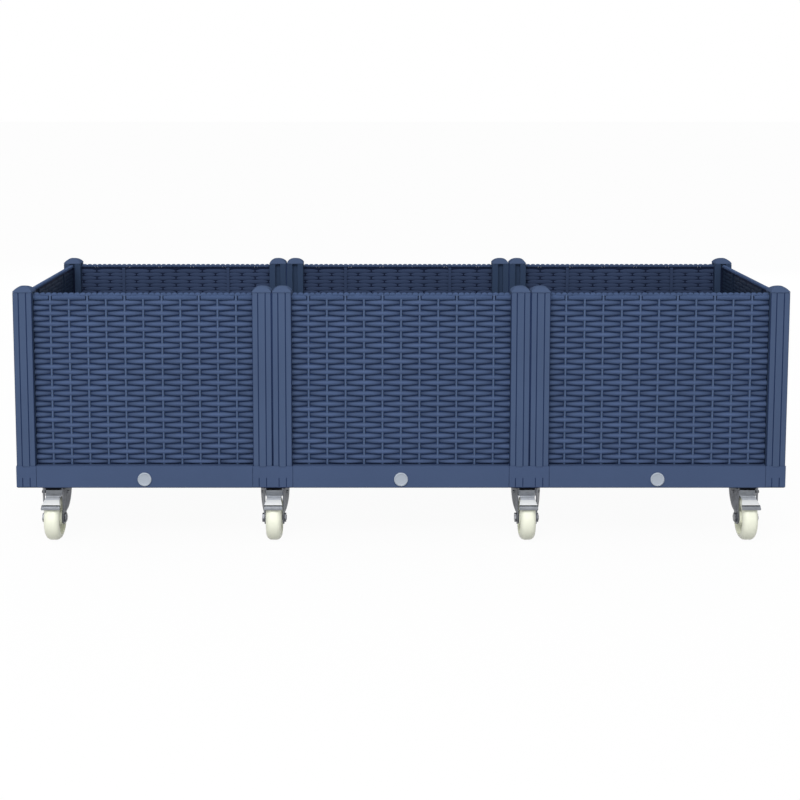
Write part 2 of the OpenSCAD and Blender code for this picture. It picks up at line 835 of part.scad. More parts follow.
axle(3, -1);  // axle_front_far_right
axle(0, 1);  // axle_rear_far_left
axle(1, 1);  // axle_rear_mid_left
axle(2, 1);  // axle_rear_mid_right
axle(3, 1);  // axle_rear_far_right
wheel(0, -1);  // wheel_front_far_left
wheel(1, -1);  // wheel_front_mid_left
wheel(2, -1);  // wheel_front_mid_right
wheel(3, -1);  // wheel_front_far_right
wheel(0, 1);  // wheel_rear_far_left
wheel(1, 1);  // wheel_rear_mid_left
wheel(2, 1);  // wheel_rear_mid_right
wheel(3, 1);  // wheel_rear_far_right
pedal(0, -1);  // pedal_front_far_left
pedal(1, -1);  // pedal_front_mid_left
pedal(2, -1);  // pedal_front_mid_right
pedal(3, -1);  // pedal_front_far_right
pedal(0, 1);  // pedal_rear_far_left
pedal(1, 1);  // pedal_rear_mid_left
pedal(2, 1);  // pedal_rear_mid_right
pedal(3, 1);  // pedal_rear_far_right
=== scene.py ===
import math

import bmesh
import bpy
from mathutils import Matrix, Vector


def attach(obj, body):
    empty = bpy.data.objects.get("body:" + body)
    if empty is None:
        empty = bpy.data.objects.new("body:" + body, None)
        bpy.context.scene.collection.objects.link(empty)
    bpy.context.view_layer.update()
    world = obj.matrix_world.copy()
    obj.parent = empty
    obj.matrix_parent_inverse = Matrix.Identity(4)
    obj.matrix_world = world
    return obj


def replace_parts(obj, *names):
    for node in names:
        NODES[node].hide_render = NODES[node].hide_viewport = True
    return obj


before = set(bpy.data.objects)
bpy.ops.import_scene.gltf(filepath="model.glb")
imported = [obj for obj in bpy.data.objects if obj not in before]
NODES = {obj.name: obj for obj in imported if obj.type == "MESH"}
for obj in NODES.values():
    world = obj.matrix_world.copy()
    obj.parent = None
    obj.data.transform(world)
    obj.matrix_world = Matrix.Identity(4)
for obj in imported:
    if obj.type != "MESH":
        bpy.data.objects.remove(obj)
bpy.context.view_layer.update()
MM = 0.001

# Lengths are in millimetres, except where a comment says metres.

# Planter box, as in the part's source
MODULE = 400.0
SKIRT_TOP = 127.0
BASE_Z = 92.0
POST_W = 29.5
POST_TOP = SKIRT_TOP + 272.0
PROUD = 0.75
SOCKET_W = POST_W + 2 * PROUD
OPENING = MODULE - 2 * (PROUD + POST_W)
PANEL_LINE = PROUD + POST_W / 2
HALF_DEPTH = MODULE / 2
HALF_LENGTH = 1.5 * MODULE
POST_MIDDLE = HALF_DEPTH - PANEL_LINE
MODULES = (("left", -MODULE), ("centre", 0.0), ("right", MODULE))

# Seams between skirt and sockets, and the webs that close them and the joint posts' gaps
SEAM = 0.15
SEAM_OPEN = 0.45
SEAM_REACH = 4.0
SEAM_NEAR = 0.05
STRIP_BACK = 1.1
STRIP_END = 2.4 * STRIP_BACK
STRIP_HALF = 1.4
STRIP_INSET = 0.4
WEB_BACK = 1.6
WEB_LAP = 0.3
WEB_DROP = 2.0

# Rounding of the edges of copied CAD nodes
FLAT_ANGLE = 1.0
POST_ROUND = 0.35
TRAY_ROUND = 0.8
SOCKET_ROUND = 0.7
AXLE_ROUND = 0.5
FORK_ROUND = 0.45
PEDAL_ROUND = 0.3

# Post caps
CAP_H = 10.0
CAP_ARCH_R = 17.5
CAP_HALF = POST_W / 2 + 0.25
CAP_CORNER = 1.3
CAP_STEP = 2.5
CAP_BLEND = 1.2
CAP_NECK = 0.93
CAP_NECK_H = 0.7
CAP_EDGE_Z = 0.9
CAP_SHARES = (0.98, 0.94, 0.88, 0.8, 0.7, 0.6, 0.5, 0.4, 0.3, 0.2, 0.1, 0.03)
CAP_PLUG_H = 12.0
CAP_PLUG_HALF = 8.2
CAP_PLUG_SHIFT = 3.25
CAP_PLUG_LAP = 0.5

# Woven panels: rows from the skirt up, stakes across, a finer weave on the inside
PANEL_TOP = POST_TOP - 1.2
BORDER_H = 11.4
BORDER_Z = PANEL_TOP - BORDER_H
ROW_PITCH = 8.41
ROW_DROP = 1.5
ROW_COUNT = int((BORDER_Z - SKIRT_TOP + ROW_DROP) / ROW_PITCH)
FIRST_ROW_LIFT = 0.9
FIRST_ROW_CUT = 1.3
STAKE_PITCH = 28.8
STAKE_W = 3.8
STAKE_RISE = 3.5
SIDE_STAKES = 6
CORE_T = 2.4
CORE_LAP = 6
SUNK = 0.3
TONGUE = 6.2
TONGUE_GAP = 0.2
TONGUE_HALF = 4.2
FOOT_HALF = 168
FOOT_DEPTH = 5.7
STRAND_RISE = 4.0
STRAND_MID = 8.25
STRAND_END = 4.3
STRAND_END_RISE = 0.8
STRAND_GAP = 2.4
RIM_GAP = 3.1
RIM_LIFT = 4.2
RIM_MID = (BORDER_H - 1.8, 3.9)
RIM_END = (BORDER_H - 2.8, 2.5)
INNER_ROW = 6.46
INNER_STAKE = 23.8
INNER_RISE = 0.5
INNER_LAP = 2.0
INNER_SIDE = 8
INNER_GAP = 1.2
INNER_END = (2.4, 0.2)
INNER_PINCH = 4.5
BRACE_PLACE = 94.0
BRACE_W = 5.2
BRACE_RISE = 2.4
LOOP_PITCH = 8.9
LOOP_DEPTH = 3.0
LOOP_DROP = 3.4
LOOP_FOOT = 4.8
LOOP_CORE_DROP = 2.6
LOOP_CORE_INSET = 0.5
LOOP_STEPS = 10

# Drain plugs
PLUG_Z = BASE_Z + 14.0
PLUG_R = 10.75
PLUG_T = 2.2
PLUG_RIM = 2.5
PLUG_RECESS = 0.5
PLUG_CORE_R = 0.3
PLUG_GAP = 0.15
PLUG_NECK_R = 8.0
PLUG_NECK_L = 21.6

# Casters, around the swivel axis, with the wheel trailing towards -y
CASTER_Y = HALF_DEPTH - 54.0
OUTER_CASTER = HALF_LENGTH - 51.5
INNER_CASTER = HALF_LENGTH - MODULE
CASTERS = (
    ("far_left", -OUTER_CASTER), ("mid_left", -INNER_CASTER),
    ("mid_right", INNER_CASTER), ("far_right", OUTER_CASTER),
)
TRAIL = 20.0
WHEEL_R = 35.0
AXLE_Z = WHEEL_R
WHEEL_HALF = 12.25
WHEEL_STEPS = 96
SHOULDER_R = 9.0
SHOULDER_STEPS = 10
HUB_R = 11.0
RIM_T = 8.0
WEB_HALF = 5.0
BORE_R = 4.05
WHEEL_ROUNDS = (0.4, 1.0, 1.5, 1.5, 0.6)
RACE_GAP = 5.0
FORK_TOP = BASE_Z - 2.3 - RACE_GAP
CROWN_T = 2.5
CROWN_Z = FORK_TOP - CROWN_T
FORK_T = 2.0
FORK_COLUMNS = 9
LEG_IN = WHEEL_HALF + 1.4
HIP_IN = 21.0
KNEE_Z = 42.5
LEG_END_R = 10.5
LEG_END_ANGLES = (84, 72, 60, 48, 36, 28.4, 15, 0)
LEG_CURVE = (
    (0.0, -0.15), (0.0, 0.0), (0.42, 0.11), (0.75, 0.36), (0.93, 0.62), (1.0, 0.82), (1.0, 0.9),
)
LEG_CURVE_STEP = 0.07
LEG_FRONT = -TRAIL - 7.5
LEG_BACK = -5.0
LEG_REAR = 5.0
REAR_DROP = 10.0
SHOULDER_DROP = 4.0
SHOULDER_ROUND = 3.5
DISH_R = 23.0
DISH_ROUNDS = (0.3, 1.6, 0.7, 0.7, 1.0, 0.3)
KINGPIN_HOLE_R = 4.55

# Brake pedals; the sheet's middle line is the source's, the drawn sheet is a little thinner
SHEET_T = 1.8
PEDAL_T = 1.6
ROOM = CROWN_Z - 2 * WHEEL_R
TREAD_CLEAR = 0.35
LIP_R = 2.0
PEDAL_LINE = (
    (0.786, 2.0), (0.288, 9.6), (0.264, 17.6), (0.264, 33.0), (0.288, 46.0), (0.288, 55.0),
)
PEDAL_STEP = 0.6
PEDAL_TOP_HALF = 13.75
PEDAL_WAIST_HALF = 10.75
PEDAL_LIP_HALF = 14.75
WAIST_DROP = 1.0
WAIST_RUN = 4.0
WIDTH_SPREAD = (-1.5, -0.75, 0.0, 0.75, 1.5)
FLANGE_DROP = 2.0
FLANGE_LEAST = 0.15
PEDAL_RISE = 1.9
CREASE_DEPTH = 0.9
CREASE_PLACE = 0.12
CREASE_W = 1.3
FOLD_SHARE = 0.7
FOLD_W = 0.8
PEDAL_SHINE = 6.5
EAR_R = 4.8
PIN_R = 2.5
PIN_HALF = 21.25
PIN_EDGE = 0.6
PIVOT_GAP = 0.45 * ROOM
PIVOT_ANGLE = -8.5

# Numbers of the materials within a piece
WOVEN, RECESS, LINING, STAKE, RIM, LINING_GAP = range(6)
PANEL_LOOKS = ("woven", "recess", "inner", "stake", "rim", "inner_gap")
POST_FACE, POST_LINING, POST_GROOVE = range(3)
POST_LOOKS = ("post", "post_inner", "groove")
SOCKET_FACE, SOCKET_GROOVE = range(2)
SOCKET_LOOKS = ("base", "groove")
FORK_ZINC, FORK_DARK = range(2)
FORK_LOOKS = ("zinc", "dark")
STEP, BRIGHT, LIP, DARK, BOLT = range(5)
PEDAL_LOOKS = ("step", "bright", "lip", "dark", "bolt")

# Camera in pixels and metres, floor and lamps in metres
IMAGE_PX = 800.0
SENSOR_W = 36.0
FOCAL_PX = 1442.0
SHIFT_PX = (23.7, -159.9)
CAMERA_AT = (-0.0385, -2.3991, 0.7104)
CAMERA_DOWN = 5.95
FLOOR_HALF = 30.0
FLOOR_Z = -0.0005
FLOOR_TONE = 0.4
FLOOR_GLOW = 1.06
FLOOR_GLOW_SHARE = 0.9
WORLD_LOW, WORLD_HIGH = 0.1, 0.8
LAMPS = (
    # name, place, target, size, watts
    ("key", (-0.6, -2.6, 2.4), (0, 0, 0.2), (2.6, 1.2), 54.0),
    ("front", (-0.2, -3.2, 0.9), (0, 0, 0.15), (2.8, 1.0), 20.0),
    ("back", (0.3, 3.2, 1.0), (0, 0, 0.2), (2.8, 1.0), 30.0),
)
WHITE = (1, 1, 1, 1)


def linear(c):
    c /= 255.0
    return c / 12.92 if c <= 0.04045 else ((c + 0.055) / 1.055) ** 2.4


def rgb(r, g, b):
    return (linear(r), linear(g), linear(b), 1.0)


def mix(a, b, t):
    return a + (b - a) * t


def scaled(colour, k):
    return tuple(min(1.0, c * k) for c in colour[:3]) + (1.0,)


# Materials
def node_material(name):
    mat = bpy.data.materials.new(name)
    mat.use_nodes = True
    nt = mat.node_tree
    nt.nodes.clear()
    out = nt.nodes.new("ShaderNodeOutputMaterial")
    shader = nt.nodes.new("ShaderNodeBsdfPrincipled")
    nt.links.new(shader.outputs[0], out.inputs[0])
    coords = nt.nodes.new("ShaderNodeTexCoord")
    return mat, nt, shader, coords.outputs["Object"]


def stretched(nt, coords, scale):
    m = nt.nodes.new("ShaderNodeMapping")
    m.inputs["Scale"].default_value = scale
    nt.links.new(coords, m.inputs["Vector"])
    return m.outputs[0]


def noise(nt, coords, scale, detail=3.0, rough=0.5):
    n = nt.nodes.new("ShaderNodeTexNoise")
    n.inputs["Scale"].default_value = scale
    n.inputs["Detail"].default_value = detail
    n.inputs["Roughness"].default_value = rough
    nt.links.new(coords, n.inputs["Vector"])
    return n.outputs["Fac"]


def ramp(nt, fac, stops):
    """Two stops of (place, colour or grey)."""
    r = nt.nodes.new("ShaderNodeValToRGB")
    for e, (p, c) in zip(r.color_ramp.elements, stops):
        e.position = p
        e.color = c if isinstance(c, tuple) else (c, c, c, 1.0)
    nt.links.new(fac, r.inputs[0])
    return r.outputs[0]


def bump(nt, shader, heights, strength):
    """heights: (socket, distance in metres), chained into one normal."""
    normal = None
    for socket, distance in heights:
        b = nt.nodes.new("ShaderNodeBump")
        b.inputs["Strength"].default_value = strength
        b.inputs["Distance"].default_value = distance
        nt.links.new(socket, b.inputs["Height"])
        if normal is not None:
            nt.links.new(normal, b.inputs["Normal"])
        normal = b.outputs[0]
    nt.links.new(normal, shader.inputs["Normal"])


def toned(nt, colour, value, ends):
    """The colour times a value that is mapped as the ends of a Map Range say."""
    tone = nt.nodes.new("ShaderNodeMapRange")
    for end, number in ends.items():
        tone.inputs[end].default_value = number
    nt.links.new(value, tone.inputs["Value"])
    scale = nt.nodes.new("ShaderNodeVectorMath")
    scale.operation = "SCALE"
    nt.links.new(colour, scale.inputs[0])
    nt.links.new(tone.outputs[0], scale.inputs["Scale"])
    return scale.outputs[0]


def each_piece(nt, colour, spread):
    """Gives every strand a tone of its own."""
    geometry = nt.nodes.new("ShaderNodeNewGeometry")
    ends = {"To Min": 1 - spread, "To Max": 1 + spread}
    return toned(nt, colour, geometry.outputs["Random Per Island"], ends)


def painted_shade_by_rise(nt, colour, low):
    """Painted shade: deepens the tone where the weave lies low, from its full tone at the ridges
    down to low.
    """
    rise = nt.nodes.new("ShaderNodeAttribute")
    rise.attribute_name = "rise"
    ends = {"From Min": 0.6, "From Max": STRAND_RISE, "To Min": low}
    return toned(nt, colour, rise.outputs["Fac"], ends)


def plastic(name, colour, spread=0.05, rough=(0.42, 0.54), grain=0.00006, specular=0.3,
            strands=0.0, low=1.0):
    """Moulded plastic: soft tone changes, a fine pebbled grain and uneven gloss.
    With strands, the grain runs along them and each strand has its own tone.
    With low under 1, a painted shade deepens the tone down to low where the weave lies low."""
    mat, nt, shader, co = node_material(name)
    along = stretched(nt, co, (0.22, 0.22, 1.0)) if strands else co
    fine = noise(nt, along, 520.0 if strands else 1300.0, 2.0)
    cloud = noise(nt, along, 120.0 if strands else 9.0, 4.0)
    tone = ramp(nt, cloud, [(0.3, scaled(colour, 1 - spread)), (0.7, scaled(colour, 1 + spread))])
    tone = each_piece(nt, tone, strands) if strands else tone
    nt.links.new(painted_shade_by_rise(nt, tone, low) if low < 1 else tone, shader.inputs["Base Color"])
    gloss = ramp(nt, noise(nt, co, 60.0, 2.0), [(0.3, rough[0]), (0.7, rough[1])])
    nt.links.new(gloss, shader.inputs["Roughness"])
    shader.inputs["Specular IOR Level"].default_value = specular
    bump(nt, shader, [(fine, grain), (noise(nt, co, 35.0, 2.0), grain * 3)], 0.5)
    return mat


def steel(name, colour, rough, mottle, scale, metallic, grain=0.00003):
    """Zinc plated sheet steel: crystalline mottling in tone and gloss."""
    mat, nt, shader, co = node_material(name)
    v = nt.nodes.new("ShaderNodeTexVoronoi")
    v.inputs["Scale"].default_value = scale
    nt.links.new(co, v.inputs["Vector"])
    spots = nt.nodes.new("ShaderNodeMath")
    spots.operation = "MULTIPLY_ADD"
    spots.inputs[1].default_value = 0.45
    nt.links.new(v.outputs["Distance"], spots.inputs[0])
    nt.links.new(noise(nt, co, 90.0, 4.0, 0.65), spots.inputs[2])
    dull, pale = scaled(colour, 1 - mottle), scaled(colour, 1 + mottle)
    tone = ramp(nt, spots.outputs[0], [(0.35, dull), (0.85, pale)])
    nt.links.new(tone, shader.inputs["Base Color"])
    gloss = ramp(nt, spots.outputs[0], [(0.3, rough[1]), (0.9, rough[0])])
    nt.links.new(gloss, shader.inputs["Roughness"])
    shader.inputs["Metallic"].default_value = metallic
    heights = [(noise(nt, co, 700.0, 2.0), grain), (noise(nt, co, 60.0, 3.0), grain * 4)]
    bump(nt, shader, heights, 0.6)
    return mat


def nylon(name, colour):
    """Cream nylon of the wheels: waxy, faintly clouded, with a fine grain."""
    mat, nt, shader, co = node_material(name)
    tone = ramp(nt, noise(nt, co, 45.0, 3.0), [(0.35, scaled(colour, 0.96)), (0.65, colour)])
    nt.links.new(tone, shader.inputs["Base Color"])
    gloss = ramp(nt, noise(nt, co, 120.0), [(0.3, 0.32), (0.7, 0.44)])
    nt.links.new(gloss, shader.inputs["Roughness"])
    shader.inputs["Specular IOR Level"].default_value = 0.4
    bump(nt, shader, [(noise(nt, co, 500.0, 2.0), 0.00003)], 0.5)
    return mat


# Roughness from the darker to the paler spots, and the grain's height in metres
WAXY, SATIN, MATT = (0.5, 0.6), (0.6, 0.7), (0.7, 0.8)
FINE, COARSE = 0.00006, 0.00008

M = {
    # woven and stake end in 0.6: the painted shade where the weave lies low
    "woven": plastic(
        "woven_plastic_look", rgb(73, 90, 124), 0.09, WAXY, COARSE, 0.08, 0.08, 0.6),
    # recess: the core between the strands, darker as painted shade
    "recess": plastic("weave_recess_painted_shade_look", rgb(38, 54, 88), 0.06, MATT, FINE, 0.05),
    # stake: the same plastic, paler as painted light
    "stake": plastic(
        "stake_painted_light_look", rgb(82, 100, 133), 0.06, WAXY, FINE, 0.08, 0.0, 0.6),
    "rim": plastic("border_plastic_look", rgb(70, 87, 120), 0.08, SATIN, COARSE, 0.0, 0.06),
    # inner and end_inner: the same plastic, darker as painted shade on the panels' insides
    "inner": plastic("inner_weave_painted_shade_look", rgb(57, 70, 98), 0.1, MATT, COARSE, 0.03),
    "end_inner": plastic("end_inner_painted_shade_look", rgb(36, 48, 68), 0.08, MATT, COARSE, 0.03),
    # post_inner and groove: darker copies of the plastic, as painted shade
    "post": plastic("post_plastic_look", rgb(72, 88, 118), 0.04, SATIN, specular=0.06),
    "post_inner": plastic("post_inner_painted_shade_look", rgb(55, 71, 97), 0.04, MATT, FINE, 0.03),
    "cap": plastic("cap_plastic_look", rgb(72, 87, 116), 0.02, SATIN, specular=0.0),
    "groove": plastic("groove_painted_shade_look", rgb(42, 56, 90), 0.04, SATIN, specular=0.04),
    # inner_gap: the core behind the fine weave, darker as painted shade
    "inner_gap": plastic("inner_gap_painted_shade_look", rgb(26, 34, 56), 0.08, MATT, COARSE, 0.03),
    "base": plastic("base_plastic_look", rgb(71, 87, 119), 0.03, SATIN, specular=0.06),
    "plug": plastic("plug_plastic_look", rgb(170, 179, 191), 0.03, (0.35, 0.45), 0.00004),
    "zinc": steel(
        "zinc_steel_look", (0.125, 0.132, 0.15, 1.0), (0.4, 0.5), 0.35, 260.0, 0.4),
    # step, lip and bright: one pedal steel in painted shade and painted highlight
    "step": steel(
        "pedal_step_painted_shade_look", (0.72, 0.76, 0.82, 1.0), (0.34, 0.44), 0.1, 160.0, 0.3),
    "lip": steel(
        "pedal_lip_painted_shade_look", (0.21, 0.225, 0.25, 1.0), (0.36, 0.46), 0.1, 160.0, 0.4),
    "dark": plastic("shadowed_steel_look", rgb(24, 26, 32), 0.2, MATT, specular=0.03),
    "bright": steel(
        "pedal_painted_highlight_look", (0.95, 0.97, 1.0, 1.0), (0.3, 0.4), 0.03, 160.0, 0.1),
    "bolt": steel(
        "axle_steel_look", (0.12, 0.125, 0.14, 1.0), (0.26, 0.36), 0.1, 200.0, 0.6),
    "nut": steel(
        "bright_nut_look", (0.46, 0.47, 0.50, 1.0), (0.18, 0.28), 0.08, 200.0, 0.8),
    "nylon": nylon("wheel_nylon_look", rgb(252, 254, 235)),
}


# Mesh building
class Shape:
    """Gathers vertices, faces and the material number of each face."""

    def __init__(self):
        self.v = []
        self.f = []
        self.m = []
        self.paint = 0

    def face(self, *corners):
        self.f.append(tuple(corners))
        self.m.append(self.paint)

    def grid(self, rows):
        """A tube of equal closed rings, capped at both ends."""
        base = len(self.v)
        n = len(rows[0])
        for r in rows:
            self.v.extend(r)
        for i in range(len(rows) - 1):
            for j in range(n):
                a = base + i * n + j
                b = base + i * n + (j + 1) % n
                self.face(a, b, b + n, a + n)
        last = base + (len(rows) - 1) * n
        self.face(*range(base, base + n))
        self.face(*range(last + n - 1, last - 1, -1))

    def box(self, lo, hi):
        ring = ((lo[0], lo[1]), (hi[0], lo[1]), (hi[0], hi[1]), (lo[0], hi[1]))
        self.grid([[(x, y, z) for x, y in ring] for z in (lo[2], hi[2])])

    def plate(self, outer, inner, paints):
        """Two equal grids of points, joined round their edges into one closed plate.
        paints holds the material number of each row of faces."""
        rows, cols = len(outer), len(outer[0])
        base = len(self.v)
        for side in (outer, inner):
            for r in side:
                self.v.extend(r)
        half = rows * cols
        for i in range(rows - 1):
            self.paint = paints[i]
            for j in range(cols - 1):
                a = base + i * cols + j
                b, c, d = a + 1, a + cols + 1, a + cols
                self.face(a, b, c, d)
                self.face(a + half, d + half, c + half, b + half)
        rim = [j for j in range(cols)] + [i * cols + cols - 1 for i in range(1, rows)]
        rim += [(rows - 1) * cols + j for j in range(cols - 2, -1, -1)]
        rim += [i * cols for i in range(rows - 2, 0, -1)]
        for k, a in enumerate(rim):
            b = rim[(k + 1) % len(rim)]
            self.paint = paints[min(min(a, b) // cols, rows - 2)]
            self.face(base + a, base + b, base + b + half, base + a + half)

    def turned(self, section, at, steps=64, ring=False):
        """Revolves a section of (radius, along); at(radius, angle, along) gives a point's place.
        A ring's section is a closed outline, any other is capped at both ends."""
        base = len(self.v)
        n = len(section)
        for i in range(steps):
            self.v.extend(at(r, 2 * math.pi * i / steps, h) for r, h in section)
        for i in range(steps):
            for j in range(n if ring else n - 1):
                a, d = base + i * n, base + (i + 1) % steps * n
                self.face(a + j, a + (j + 1) % n, d + (j + 1) % n, d + j)
        if not ring:
            self.face(*(base + i * n for i in range(steps)))
            self.face(*(base + i * n + n - 1 for i in reversed(range(steps))))

    def prism(self, outline, at, low, high):
        """Extrudes an outline of (u, v) from low to high; at(u, v, along) gives a point's place."""
        self.grid([[at(u, v, w) for u, v in outline] for w in (low, high)])

    def joined(self, other, matrix):
        base = len(self.v)
        self.v.extend(tuple(matrix @ Vector(p)) for p in other.v)
        self.f.extend(tuple(base + i for i in f) for f in other.f)
        self.m.extend(other.m)
        return self


def rounded(points, radius, steps=4):
    """A closed outline with its corners rounded, by one radius or one for each corner."""
    out = []
    for i, p in enumerate(points):
        r = radius[i] if isinstance(radius, (list, tuple)) else radius
        p = Vector(p)
        a = Vector(points[i - 1]) - p
        b = Vector(points[(i + 1) % len(points)]) - p
        if r <= 0:
            out.append(tuple(p))
            continue
        cut = min(r / math.tan(a.angle(b) / 2), 0.48 * a.length, 0.48 * b.length)
        start, end = p + a.normalized() * cut, p + b.normalized() * cut
        for k in range(steps + 1):
            t = k / steps
            out.append(tuple(start.lerp(p, t).lerp(p.lerp(end, t), t)))
    return out


def eased(points, rounds):
    """Cuts the corners of an open line, again and again; its ends stay."""
    for _ in range(rounds):
        line = [points[0]]
        for a, b in zip(points, points[1:]):
            line.append(tuple(mix(u, v, 0.25) for u, v in zip(a, b)))
            line.append(tuple(mix(u, v, 0.75) for u, v in zip(a, b)))
        points = line + [points[-1]]
    return points


def spaced(points, step):
    """The same line with its points a step apart."""
    out = [points[0]]
    left = step
    for a, b in zip(points, points[1:]):
        a, b = Vector(a), Vector(b)
        while (b - a).length > left:
            a = a + (b - a).normalized() * left
            out.append(tuple(a))
            left = step
        left -= (b - a).length
    out.append(tuple(points[-1]))
    return out


def hull(points):
    """The convex outline round points of a plane."""
    def turns_back(a, b, c):
        return (b[0] - a[0]) * (c[1] - a[1]) <= (b[1] - a[1]) * (c[0] - a[0])

    points = sorted(set(points))
    sides = []
    for run in (points, points[::-1]):
        side = []
        for p in run:
            while len(side) > 1 and turns_back(side[-2], side[-1], p):
                side.pop()
            side.append(p)
        sides += side[:-1]
    return sides


def softer_min(a, b, k):
    return min(a, b) - max(k - abs(a - b), 0.0) ** 2 / (4 * k)


def finished(name, mesh, body, mats):
    obj = bpy.data.objects.new(name, mesh)
    bpy.context.scene.collection.objects.link(obj)
    for m in mats:
        mesh.materials.append(M[m])
    for p in mesh.polygons:
        p.use_smooth = True
    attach(obj, body)
    return obj


def add_piece(name, shape, body, mats, sharp=50.0):
    """A piece from a shape, with its edges sharp from the angle sharp on."""
    mesh = bpy.data.meshes.new(name)
    mesh.from_pydata([(x * MM, y * MM, z * MM) for x, y, z in shape.v], [], shape.f)
    mesh.polygons.foreach_set("material_index", shape.m)
    bm = bmesh.new()
    bm.from_mesh(mesh)
    bmesh.ops.recalc_face_normals(bm, faces=bm.faces)
    for e in bm.edges:
        e.smooth = len(e.link_faces) == 2 and e.calc_face_angle(0.0) < math.radians(sharp)
    bm.to_mesh(mesh)
    bm.free()
    return finished(name, mesh, body, mats)


def round_edges(obj, width, segments, angle):
    bevel = obj.modifiers.new("round", "BEVEL")
    bevel.width = width * MM
    bevel.segments = segments
    bevel.limit_method = "ANGLE"
    bevel.angle_limit = math.radians(angle)
    bevel.use_clamp_overlap = True
    bevel.miter_outer = "MITER_ARC"
    even = obj.modifiers.new("even", "WEIGHTED_NORMAL")
    even.keep_sharp = True


def softened(node, body, mats, width, segments=2, angle=28.0, paint=None, shift=None):
    """A copy of a CAD node with its flat faces merged and its edges rounded.
    paint(face) gives the number of a face's material, shift(co) a corner's new place.
    Some merged faces still fill wrongly, such as the trays' undersides and some posts' tops;
    only the sockets' faces are split where they are concave."""
    mesh = NODES[node].data.copy()
    mesh.name = node + "_soft"
    mesh.materials.clear()
    bm = bmesh.new()
    bm.from_mesh(mesh)
    bmesh.ops.remove_doubles(bm, verts=bm.verts, dist=1e-6)
    bmesh.ops.dissolve_limit(
        bm, angle_limit=math.radians(FLAT_ANGLE), verts=bm.verts, edges=bm.edges,
        delimit={"NORMAL"})
    if node.endswith("sockets"):
        bmesh.ops.connect_verts_concave(bm, faces=bm.faces)
    if shift:
        for v in bm.verts:
            v.co = shift(v.co)
    for f in bm.faces:
        f.material_index = paint(f) if paint else 0
    bm.to_mesh(mesh)
    bm.free()
    obj = finished(node + "_soft", mesh, body, mats)
    round_edges(obj, width, segments, angle)
    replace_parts(obj, node)
    return obj


# Woven panels
def strand(s, x, half, z, mid, end, base_y, side, cut, steps=10, rounds=6, pinch=2.5):
    """A lens-shaped strand around x: high and proud at its middle, pinched and low at its ends.
    mid and end are (height, rise); side is 1 when it bulges towards +y; cut clips it along x;
    a larger pinch keeps the narrow part nearer to the ends."""
    low, high = max(x - half, -cut), min(x + half, cut)
    if high - low < 1.0:
        return
    rows = []
    for i in range(steps + 1):
        u = mix(low, high, i / steps)
        t = abs(u - x) / half
        h = mix(end[0], mid[0], 1 - t ** pinch) / 2
        d = mix(end[1], mid[1], 1 - t ** pinch)
        ring = []
        for j in range(rounds + 1):
            a = math.pi * j / rounds
            ring.append((u, base_y + side * d * math.sin(a) ** 0.9, z + h * math.cos(a)))
        ring += [(u, base_y - side * SUNK, z - h), (u, base_y - side * SUNK, z + h)]
        rows.append(ring)
    s.grid(rows)


def stake(s, x, z0, z1, base_y, side, rounds=5):
    """An upright half-round stake."""
    half = STAKE_W / 2
    rows = []
    for z in (z0, z1):
        ring = []
        for j in range(rounds + 1):
            a = math.pi * j / rounds
            ring.append((
                x + half * math.cos(a), base_y + side * STAKE_RISE * math.sin(a) ** 0.6, z))
        ring += [(x - half, base_y - side * SUNK, z), (x + half, base_y - side * SUNK, z)]
        rows.append(ring)
    s.grid(rows)


def edge_loops(s, half):
    """The braided top edge: a row of small rounded loops across the panel's thickness."""
    count = int(2 * half / LOOP_PITCH)
    r = LOOP_PITCH * 0.52
    base = PANEL_TOP - LOOP_FOOT
    core = LOOP_DEPTH - LOOP_CORE_INSET
    s.box((-half, -core, base), (half, core, PANEL_TOP - LOOP_CORE_DROP))
    # how wide a loop is, across the thickness
    widths = (
        (-LOOP_DEPTH, 0.7), (-LOOP_DEPTH + 0.6, 0.93), (-1.2, 1.0),
        (1.2, 1.0), (LOOP_DEPTH - 0.6, 0.93), (LOOP_DEPTH, 0.7),
    )
    for i in range(count):
        x = (i - (count - 1) / 2) * LOOP_PITCH
        rows = []
        for y, q in widths:
            ring = []
            for j in range(LOOP_STEPS + 1):
                a = math.pi * j / LOOP_STEPS
                rise = (LOOP_DROP - (1 - q) * 2.0) * math.sin(a) ** 0.75
                ring.append((x + r * q * math.cos(a), y, PANEL_TOP - LOOP_DROP + rise))
            foot = base + (1 - q) * 3
            ring += [(x - r * q, y, foot), (x + r * q, y, foot)]
            rows.append(ring)
        s.grid(rows)


